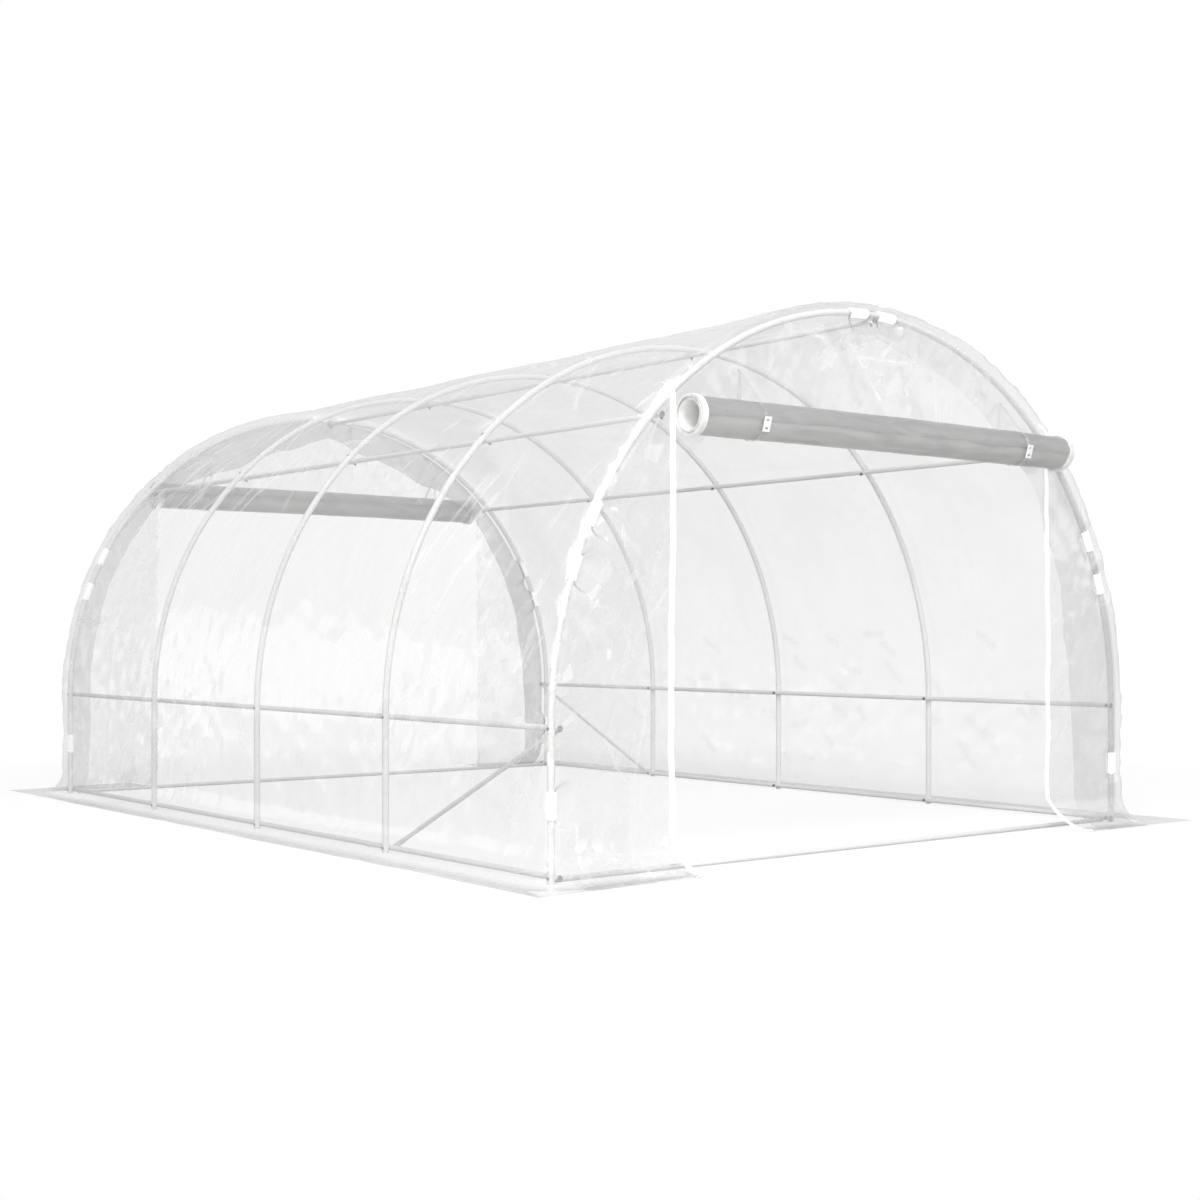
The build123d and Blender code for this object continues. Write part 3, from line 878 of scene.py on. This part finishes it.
def cover_corner(s, phi, end):
    """Points of the cover where it rounds over an end hoop; phi is the angle of the rounding."""
    x0, z0, nx, nz, side, v = (a[:, None] for a in outline(s))
    s, phi = s[:, None], np.array(phi)[None, :]
    out, height, flat = flare(v)
    up = 1 - smooth_step(v, 0.0, FLARE_RUN * 0.8)
    c, q = np.cos(phi), np.sin(phi)
    deep = ROUND_IN * (1 - c ** SQUARE) - end_lift(s) * up * c ** 0.5
    puff = 0.004 * noise(s, phi * 0.05, 0.045, 21) + 0.005 * creases(s, phi * 0.09, 0.06, 22 + end, 4) - 0.001
    puff = up * np.sin(2 * phi) * puff
    off = c * puff + cover_lift(s, np.full_like(phi, end * MAIN_Y)) * up * c ** 2 - deep
    loose = (x0 + nx * off, end * (MAIN_Y + ROUND_Y * q ** SQUARE + q * puff), z0 + nz * off)
    tight_r = HOOP_X + TIGHT_R * c
    below = np.clip(np.abs(s) - QUARTER, 0, None)
    tight = (tight_r * nx, end * (END_Y + TIGHT_R * q), ARCH_Z + tight_r * nz - below)
    pressed = grip(s) * smooth_step(phi, *PRESSED)
    x, y, z = (a * (1 - pressed) + b * pressed for a, b in zip(loose, tight))

    corners = np.abs([SKIRT_CORNERS[(k, end)] for k in (-1, 1)])
    limit_x, limit_y = (np.where(side < 0, *corners[:, axis]) for axis in (0, 1))
    room_x = (limit_x - (FILM_R - ROUND_IN * (1 - c))) / np.maximum(c, 1e-6)
    room_y = (limit_y - (MAIN_Y + ROUND_Y * q)) / np.maximum(q, 1e-6)
    far = (out + flat / SKIRT_RUN * (np.minimum(room_x, room_y) - FLARE)) * (v > 0)
    z = np.where(v > 0, height, z)
    z = np.where(flat > 0, ground_wave(s, phi * 0.1 + end), np.maximum(z, ON_GROUND))
    return np.stack([x + side * c * far, y + end * q * far, z], -1)


def cover_middle(s, y):
    """Points of the cover between the two end hoops."""
    x0, z0, nx, nz, side, v = (a[:, None] for a in outline(s))
    s, y = s[:, None], y[None, :]
    out, height, flat = flare(v)
    up = 1 - smooth_step(v, 0.0, FLARE_RUN * 0.8)
    lift = cover_lift(s, y) + end_lift(s) * smooth_step(np.abs(y), 1.55, MAIN_Y)
    lift = (lift + around_clips(s, MAIN_Y - np.abs(y), 0.0025)) * up
    room = np.where(side < 0, side_edge(-1, y), side_edge(1, y)) - FILM_R
    wavy = 0.010 * noise(y, side * 2.0, 0.45, 31) * np.sin(np.clip(v / FLARE_RUN, 0, 1) * pi)
    far = (out + flat / SKIRT_RUN * (room - FLARE) + wavy) * (v > 0)
    z = np.where(v > 0, height, z0 + nz * lift)
    z = np.where(flat > 0, ground_wave(s, y), np.maximum(z, ON_GROUND))
    return np.stack(np.broadcast_arrays(x0 + nx * lift + side * far, y, z), -1)


def corner_glare(s, corner):
    """Ragged white glare where the cover is pulled round the first hoop, strongest high on its left arc."""
    strong = np.interp(arch_angle(s), *np.array(GLARE).T)
    ragged = noise(s, corner * 0.05, 0.035, 131) + 0.7 * noise(s, corner * 0.1, 0.09, 132)
    reach = 0.13 + 0.42 * strong
    inside = smooth_step(reach - np.abs(corner - 0.62) * 1.25 + 0.34 * ragged, 0.28, 0.40)
    return np.where(s < 0, 1.0, 0.22) * strong ** 0.5 * inside


def corner_turn(side, end):
    """Angle of the rounding at which the skirt's corner lies."""
    cx, cy = (abs(c) for c in SKIRT_CORNERS[(side, end)])
    low, high = 0.05, pi / 2 - 0.05
    for _ in range(40):
        a = (low + high) / 2
        gap = (cx - (FILM_R - ROUND_IN * (1 - cos(a)))) / cos(a) - (cy - (MAIN_Y + ROUND_Y * sin(a))) / sin(a)
        low, high = (a, high) if gap < 0 else (low, a)
    return a


def cover_line():
    """Stations across the cover, from its left edge on the ground to its right one."""
    wall = QUARTER + np.linspace(0, WALL_DROP, 22)[1:]
    turn = QUARTER + WALL_DROP + np.linspace(0, FLARE_RUN, 15)[1:]
    skirt = QUARTER + WALL_DROP + FLARE_RUN + np.linspace(0, SKIRT_RUN, 8)[1:]
    right = np.concatenate([wall, turn, skirt])
    return np.concatenate([-right[::-1], np.linspace(-QUARTER, QUARTER, 261), right])


def cover():
    """The one sheet over all hoops, out over the ground on both sides and round the end hoops."""
    s = cover_line()
    y = np.linspace(-MAIN_Y, MAIN_Y, 215)[1:-1]
    turns = list(np.linspace(0, pi / 2, 13))
    first, last = (sorted(turns + [corner_turn(side, end) for side in (-1, 1)]) for end in (-1, 1))
    front, rear = cover_corner(s, first, -1)[:, ::-1], cover_corner(s, last, 1)
    grid = np.concatenate([front, cover_middle(s, y), rear], 1)
    across = s[:, None] * np.ones(grid.shape[1])
    rumple, highlight_streaks = cover_marks(across, grid[..., 1], grid[..., 2])
    light, dark = cover_creases(across, grid[..., 1])
    corner = np.zeros((1, grid.shape[1]))
    corner[0, :len(first)] = np.array(first)[::-1] / (pi / 2)
    glare = corner_glare(across, corner) * (corner > 0)
    # mark: white creases, partly painted highlight, and the painted glare above 0; dark marks below 0.
    mark = np.maximum(light, glare) - dark * (light < 0.1)
    parts = ["cover_roof"] + [f"cover_{part}_{word}" for part in ("side", "skirt") for word in SIDES]
    obj = make_film("cover_sheet", grid, COVER_FILM, parts,
                    {"rumple": rumple, "highlight_streaks": highlight_streaks, "mark": mark})


def end_shift(x, z, w, s):
    """The end film's shift towards the arch's middle and its shift outwards, at w inside its edge.

    It follows the tube inside a clip, and has wrinkles elsewhere.
    """
    hold = grip(s) * (1 - smooth_step(w, TIGHT_R * GRIP_TURN, RELEASE))
    turn = np.clip(w / TIGHT_R, 0, GRIP_TURN)
    wrapped_r = HOOP_X - TIGHT_R * np.sin(turn) - (w - turn * TIGHT_R)
    wrapped_y = END_Y + TIGHT_R * np.cos(turn)
    fade = smooth_step(w, 0.0, 0.07)
    low = 1 - smooth_step(z, 0.5, 1.4)
    wave = 0.0045 * noise(x, z, 0.21, 41) + 0.0035 * (creases(x, z, 0.15, 42, 6) - 0.3) * (0.4 + 0.6 * low)
    wave = wave + 0.0018 * noise(x, z, 0.05, 43) + 0.0030 * folds(x, z, radians(35), 0.05, 0.4, 44)
    wave = wave * fade + around_clips(s, w + 0.02, 0.003) * fade
    return hold * (wrapped_r - (WALL_R - w)), wave * (1 - hold) - hold * (WALL_Y - wrapped_y)


def end_film(x, z, v, end, lift, seed=0.0):
    """Point of film in an end plane: x, height z above the flare, v past the flare's start."""
    above = z > ARCH_Z
    radial = np.where(above, np.hypot(x, z - ARCH_Z), np.abs(x))
    w = WALL_R - radial
    side = np.where(x < 0, -1.0, 1.0)
    s = np.where(above, np.arctan2(x, z - ARCH_Z) * FILM_R, side * (QUARTER + ARCH_Z - z))
    inward, outward = end_shift(x + 7 * (end + 1), z + seed, w, s)
    nx = np.where(above, x / np.maximum(radial, 1e-6), side)
    nz = np.where(above, (z - ARCH_Z) / np.maximum(radial, 1e-6), 0.0)
    up = 1 - smooth_step(v, 0.0, FLARE_RUN * 0.8)
    out, height, flat = flare(v)
    room = np.where(end < 0, end_edge(-1, x), end_edge(1, x)) - WALL_Y - FLARE
    y = WALL_Y + lift + outward * up + out + flat / SKIRT_RUN * room
    y = y + 0.008 * noise(x, v, 0.3, 45) * np.sin(np.clip(v / FLARE_RUN, 0, 1) * pi)
    hgt = np.where(v > 0, height, z + nz * inward * up)
    hgt = np.where(flat > 0, ground_wave(x, y * end) + lift, np.maximum(hgt, ON_GROUND + lift))
    return np.stack(np.broadcast_arrays(x + nx * inward * up, end * y, hgt), -1)


def hem(word, end):
    """The cover's edge, turned in behind the end wall and lying under its skirt."""
    s = cover_line()
    x0, z0, nx, nz, side, v = outline(s)
    angle = arch_angle(s)
    width = np.interp(angle, *np.array(HEM_WIDTHS).T)
    if end > 0:
        narrow = np.where(side < 0, *REAR_HEM)
        width = width * (narrow + (1 - narrow) * smooth_step(angle, 45, 66))
    width = width + 0.009 * noise(s, end, 0.21, 51) + 0.005 * noise(s, end, 0.07, 52) * (angle > 0)
    w = width[:, None] * np.linspace(0, 1, 13)[None, :] ** 0.9
    x = (x0 - nx * ROUND_IN)[:, None] - nx[:, None] * w
    z = (z0 - nz * ROUND_IN)[:, None] - nz[:, None] * w
    grid = end_film(x, np.maximum(z, FLARE), v[:, None] * np.ones_like(w), end, 0.0)
    if end < 0:
        faint = 0.38 + 0.47 * (1 - smooth_step(x, -0.45, -0.10))
    else:
        faint = 0.5 * (1 - smooth_step(x, -1.3, -0.9))
    dark = smooth_step(grid[..., 2], 0.15, 0.40) * (end > 0)
    obj = make_film(word + "_hem", grid, HEM_FILM, [word + "_cover_hem"],
                    {"rumple": 0.10, "highlight_streaks": 0.05, "mark": -dark, "fade": faint})


def door_edge(side, end, v, z):
    """How far from the middle the wall's zipped edge runs: straight on the wall, drifting on the ground."""
    drift, bow = ZIP_DRIFT[(side, end)]
    t = np.clip(v / (FLARE_RUN + SKIRT_RUN), 0, 1)
    return DOOR_HALF + 0.003 * np.sin(z * 3.1) + bow * np.sin(pi * t) * (t > 0) + drift * t * t


def rows_down(top, counts):
    """Heights and runs for a column: from the top to the flare, through it and over the skirt."""
    wall, turn, skirt = counts
    up = np.linspace(0, 1, wall)[:, None]
    lower = [np.linspace(0, FLARE_RUN, turn)[1:], FLARE_RUN + np.linspace(0, SKIRT_RUN, skirt)[1:]]
    v = np.concatenate([np.zeros(wall)] + lower)[:, None]
    z = np.concatenate([top * (1 - up) + FLARE * up, np.full((len(v) - wall, top.shape[1]), FLARE)])
    return z, v * np.ones_like(z)


def wall_marks(x, z, side, end):
    """Crumples and creases of an end wall; the front left one has its own."""
    seed = 140 + 4 * (end > 0) + (side > 0)
    patchy = smooth_step(noise(x, z, 0.26, seed) + 0.5 * noise(x, z, 0.09, seed + 10), -0.5, 0.4)
    full = WALL_WEAR[(side, end)]
    low, high = np.array([0.99, 0.1]), np.array([1.47, 1.4])
    lines = scattered(11, low, high, radians(50), 0.6, (0.06, 0.24), seed + 20)
    # White crease lines: partly whitened film, partly painted highlight.
    light = 0.6 * full * strokes(np.abs(x), z, lines, 0.010)
    dark = np.zeros_like(light)
    if (side, end) == (-1, -1):
        broken = 0.5 + 0.4 * noise(x, z, 0.05, 151)
        bent = x + 0.005 * noise(x, z, 0.06, 152)
        light = np.maximum(light, broken * strokes(bent, z, WALL_CREASES, 0.013))
        light = np.maximum(light, strokes(x, z, ZIP_GLARE, 0.035))
        low_band = smooth_step(z, 0.05, 0.07) * (1 - smooth_step(z, 0.175, 0.20))
        dark = 0.8 * low_band * smooth_step(x, -1.392, -1.380) * (1 - smooth_step(x, -1.335, -1.322))
    return {"rumple": full * patchy, "highlight_streaks": 0.35 * full * np.ones_like(x), "mark": light - dark}


def wall(word, end, name, side):
    """Fixed end wall beside the doorway."""
    angle = np.linspace(acos((DOOR_HALF + 0.001) / WALL_R), 0, 90)[None, :]
    x_top = WALL_R * np.cos(angle)
    z, v = rows_down(ARCH_Z + WALL_R * np.sin(angle), (125, 16, 9))
    share = (x_top - x_top[0, 0]) / (x_top[0, -1] - x_top[0, 0])
    edge = door_edge(side, end, v, z)
    x = side * (edge + share * (WALL_R - edge))
    obj = make_film(f"{word}_end_wall_{name}", end_film(x, z, v, end, WALL_LIFT), WALL_FILM,
                    [f"{word}_wall_{name}"], wall_marks(x, np.where(v > 0, FLARE - v, z), side, end))


def head_marks(x, z, end):
    """Creases of the film over a doorway, as seen at the front; the rear one has random ones."""
    patchy = smooth_step(noise(x, z, 0.30, 160 + end) + 0.4 * noise(x, z, 0.1, 162), -0.3, 0.5)
    low, high = np.array([-0.9, 1.6]), np.array([0.9, 1.9])
    lines = scattered(9, low, high, radians(20), 0.6, (0.08, 0.35), 165 + end)
    # White crease lines: partly whitened film, partly painted highlight.
    light = 0.5 * strokes(x, z, lines, 0.012)
    if end < 0:
        broken = 0.55 + 0.45 * noise(x, z, 0.05, 168)
        bent = x + 0.006 * noise(x, z, 0.07, 169)
        light = np.maximum(light, broken * strokes(bent, z, HEAD_CREASES, 0.012))
    return {"rumple": 0.8 * patchy, "highlight_streaks": 0.25 * np.ones_like(x), "mark": light}


def head(word, end):
    """Fixed film over the doorway, down behind the rolled door."""
    x = np.linspace(-DOOR_HALF, DOOR_HALF, 190)[None, :]
    t = np.linspace(0, 1, 54)[:, None]
    z = (ARCH_Z + np.sqrt(WALL_R ** 2 - x ** 2)) * (1 - t) + (ROLL_Z + 0.02) * t
    x = x * np.ones_like(z)
    obj = make_film(word + "_head_film", end_film(x, z, np.zeros_like(z), end, WALL_LIFT), WALL_FILM,
                    [word + "_wall_head"], head_marks(x, z, end))


def zip_line(side, end, inset):
    """Points down a zip, inset from the doorway's edge: over the cover's rounding, then outside the wall."""
    x_top = DOOR_HALF + inset
    top = np.array([[ARCH_Z + (WALL_R ** 2 - x_top ** 2) ** 0.5 - 0.004]])
    z, v = rows_down(top, (150, 22, 14))
    x = side * (door_edge(side, end, v, z) + inset)
    down = end_film(x, z, v, end, WALL_LIFT + ZIP_LIFT)[:, 0]
    phi = np.radians(np.linspace(*ZIP_START))
    r = FILM_R - ROUND_IN * (1 - np.cos(phi)) + END_LIFT[0] + 0.003
    over = np.stack([np.full(len(phi), side * x_top), end * (MAIN_Y + (ROUND_Y + 0.006) * np.sin(phi)),
                     ARCH_Z + np.sqrt(r * r - x_top * x_top)], -1)
    return np.concatenate([over, down])


def zip_teeth(side, end, ways, out):
    """One small box for each tooth along the doorway's edge."""
    tooth = np.array([(x, y, z) for x in (-1, 1) for y in (-1, 1) for z in (-1, 1)], float) / 2
    faces = [[0, 1, 3, 2], [4, 6, 7, 5], [0, 4, 5, 1], [2, 3, 7, 6], [0, 2, 6, 4], [1, 5, 7, 3]]
    edge = zip_line(side, end, 0.0)
    run = np.concatenate([[0], np.cumsum(np.linalg.norm(np.diff(edge, axis=0), axis=1))])
    wide, long, high = TOOTH
    teeth = []
    for d in np.arange(0.004, run[-1] - 0.004, TOOTH_PITCH):
        at = np.array([np.interp(d, run, edge[:, k]) for k in range(3)])
        i = min(np.searchsorted(run, d), len(ways) - 1)
        teeth.append((tooth @ np.stack([[side * wide, 0, 0], ways[i] * long, out[i] * high]) + at, faces))
    return teeth


def zips():
    for word, end in ENDS.items():
        tapes, teeth = [], []
        for side in (-1, 1):
            line = zip_line(side, end, ZIP_TAPE / 2)
            tapes.append(ribbon(line, side * ZIP_TAPE / 2))
            teeth += zip_teeth(side, end, *directions(line))
        make(word + "_zip_tapes", merged(tapes), TAPE, [word + "_zips"], sharp=40)
        make(word + "_zip_teeth", merged(teeth), TEETH, smooth=False)


def roll(word, end):
    """The door film, rolled up: a loose spiral whose free edge runs along the front."""
    across, along = np.linspace(-1, 1, 131) * ROLL_HALF, np.linspace(0, 1, ROLL_TURNS * 44 + 1)
    x, t = np.meshgrid(across, along, indexing="ij")
    turns = t * ROLL_TURNS
    free = radians(-4) + 0.10 * noise(x, end, 0.16, 61) + 0.05 * noise(x, end, 0.05, 62)
    angle = free * (1 - t) ** 6 + turns * 2 * pi
    r = ROLL_R - 0.001 - (ROLL_R - ROLL_CORE - 0.001) * t
    r = r + 0.0009 * noise(x, angle * 0.06, 0.11, 63) + 0.0006 * noise(x, angle * 0.06, 0.035, 64)
    slack = 0.0016 * np.exp(-(turns * 2 * pi / 0.5) ** 2)
    r = r + slack * (0.4 + 0.6 * noise(x, end, 0.09, 65))
    shrink = 1 - 0.004 * (1 - t) * noise(t * 3, end, 0.4, 66)
    droop = 0.004 * (x / ROLL_HALF) ** 2
    y, z = ROLL_Y + r * np.cos(angle), ROLL_Z + 0.002 - droop + r * np.sin(angle)
    grid = np.stack([x * shrink, end * y, z], -1)
    marks = {"doubled": 1 - smooth_step(turns, 0.46, 0.56), "inside": smooth_step(turns, 3.9, 4.1)}
    obj = make_film(word + "_door_film_roll", grid, ROLLED, [word + "_door_roll"], marks)


def roll_rims(word, end):
    """Zip tape rolled up with the door film, a white coil at each end of the roll."""
    parts = []
    for side in (-1, 1):
        turns = np.linspace(0, 1, ROLL_TURNS * 40 + 1)
        angle = turns * ROLL_TURNS * 2 * pi + 0.5 * side
        r = ROLL_CORE + 0.0016 + (ROLL_R - ROLL_CORE) * np.minimum(turns * 1.25, 1.0)
        r = r + 0.0006 * noise(angle * 0.1, side, 0.05, 81)
        outer = side * (ROLL_HALF - 0.001 + 0.003 * noise(angle * 0.08, side + end, 0.1, 82))
        ring = []
        for across, lift in ((0, RIM_HALF), (0, -RIM_HALF), (-RIM_WIDTH, -RIM_HALF), (-RIM_WIDTH, RIM_HALF)):
            ring.append(np.stack([outer + side * across, end * (ROLL_Y + (r + lift) * np.cos(angle)),
                                  ROLL_Z - 0.002 + (r + lift) * np.sin(angle)], -1))
        parts.append(bar(np.stack(ring, 1)))
    make(word + "_roll_zip_tape", merged(parts), RIM, sharp=50)


def worn_box(x0, x1, z0, z1, half, edge=0.0008):
    """Box of the given half thickness about Y = 0, with its edges taken off."""
    rings = []
    for y, k in ((-half, edge), (edge - half, 0), (half - edge, 0), (half, edge)):
        rings.append([(x0 + k, y, z0 + k), (x1 - k, y, z0 + k), (x1 - k, y, z1 - k), (x0 + k, y, z1 - k)])
    return bar(rings)


def buckle_shape():
    """Flat ladder buckle, X across and Z up: a frame with three bars."""
    x, z, thick, bar_width = 0.015, 0.026, 0.0026, 0.0075
    inner = x - bar_width + 0.0005
    parts = [worn_box(-x, -x + bar_width, -z, z, thick), worn_box(x - bar_width, x, -z, z, thick)]
    parts += [worn_box(-inner, inner, low, high, thick * 0.9)
              for low, high in ((-z, -0.017), (-0.011, 0.011), (0.017, z))]
    return merged(parts)


def strap_line():
    """Down from the head film, straight to the roll's front, under it and up behind, as (y, z)."""
    r = ROLL_R + 0.0004
    back = WALL_Y + WALL_LIFT + 0.0035
    reach, rise = back - ROLL_Y, STRAP_TOP - ROLL_Z
    first = atan2(rise, reach) - acos(r / (reach ** 2 + rise ** 2) ** 0.5)
    start, touch = np.array([back, STRAP_TOP]), np.array([ROLL_Y + r * cos(first), ROLL_Z + r * sin(first)])
    down = [start + t * (touch - start) for t in np.linspace(0, 0.97, 9)]
    around = [(ROLL_Y + r * cos(a), ROLL_Z + r * sin(a)) for a in np.linspace(first, radians(-182), 36)]
    up = [(back + 0.001, z) for z in np.linspace(ROLL_Z + 0.055, STRAP_TOP - 0.004, 8)]
    return np.array(down + around + up)


def ties(word, end):
    """Straps from the head film around the roll, and their buckles in front."""
    straps, buckles = [], []
    tilt = -0.28 * end
    turn = np.array([[1, 0, 0], [0, cos(tilt), -sin(tilt)], [0, sin(tilt), cos(tilt)]])
    loop = strap_line()
    for side in (-1, 1):
        x = side * STRAP_X
        sway = 0.004 * noise(np.linspace(0, 1, len(loop)), side + end, 0.25, 85)
        straps.append(ribbon(np.stack([x + sway, end * loop[:, 0], loop[:, 1]], 1), STRAP_HALF))
        front = np.array([x, end * (ROLL_Y + ROLL_R + 0.0052), ROLL_Z - 0.018])
        points, faces = buckle_shape()
        buckles.append((points @ turn.T + front, faces))
    make(word + "_tie_straps", merged(straps), STRAP, [word + "_door_ties"], sharp=60)
    make(word + "_tie_buckles", merged(buckles), BUCKLE, sharp=30)


def floor():
    side = 60.0
    data = bpy.data.meshes.new("floor")
    corners = [(-side, -side, 0), (side, -side, 0), (side, side, 0), (-side, side, 0)]
    data.from_pydata(corners, [], [(0, 1, 2, 3)])
    data.materials.append(floor_material())
    obj = bpy.data.objects.new("floor", data)
    bpy.context.scene.collection.objects.link(obj)


def world():
    made = bpy.data.worlds.new("studio")
    made.use_nodes = True
    tree = made.node_tree
    tree.nodes.clear()
    path = node(tree, "LightPath").node.outputs
    seen = maths("MAXIMUM", path["Is Glossy Ray"], path["Is Transmission Ray"])
    seen = maths("MAXIMUM", path["Is Camera Ray"], seen)
    back = node(tree, "Background", {"Color": WHITE, "Strength": span(seen, 0.0, 1.0, AMBIENT, 1.0)})
    feed(tree, tree.nodes.new("ShaderNodeOutputWorld"), {"Surface": back})
    bpy.context.scene.world = made


def lamp(name, place, target, size, power):
    data = bpy.data.lights.new(name, "AREA")
    data.shape = "RECTANGLE"
    data.size, data.size_y = size
    data.energy = power
    obj = bpy.data.objects.new(name, data)
    obj.location = place
    obj.rotation_euler = (Vector(target) - Vector(place)).to_track_quat("-Z", "Y").to_euler()
    obj.visible_camera = False
    bpy.context.scene.collection.objects.link(obj)


def camera():
    """At the photograph's place: solved from the hoops, rails and leg feet."""
    data = bpy.data.cameras.new("photo_camera")
    data.lens = LENS
    data.sensor_width = SENSOR
    data.shift_y = HORIZON_DROP / PHOTO_SIDE
    data.clip_start, data.clip_end = 0.05, 200.0
    obj = bpy.data.objects.new("photo_camera", data)
    obj.location = CAMERA_PLACE
    obj.rotation_euler = (pi / 2, 0, -atan2(*CAMERA_WAY))
    bpy.context.scene.collection.objects.link(obj)
    bpy.context.scene.camera = obj


def render_settings():
    scene = bpy.context.scene
    scene.view_settings.view_transform = "Standard"
    scene.cycles.transparent_max_bounces = 64


hoops()
rails()
brace("brace_left", -1)
brace("brace_right", 1)
bolts()
caps()
clips()
cover()
for word, end in ENDS.items():
    hem(word, end)
    for name, side in SIDES.items():
        wall(word, end, name, side)
    head(word, end)
    ties(word, end)
    roll(word, end)
    roll_rims(word, end)
zips()
floor()
world()
for settings in LAMPS:
    lamp(*settings)
camera()
render_settings()
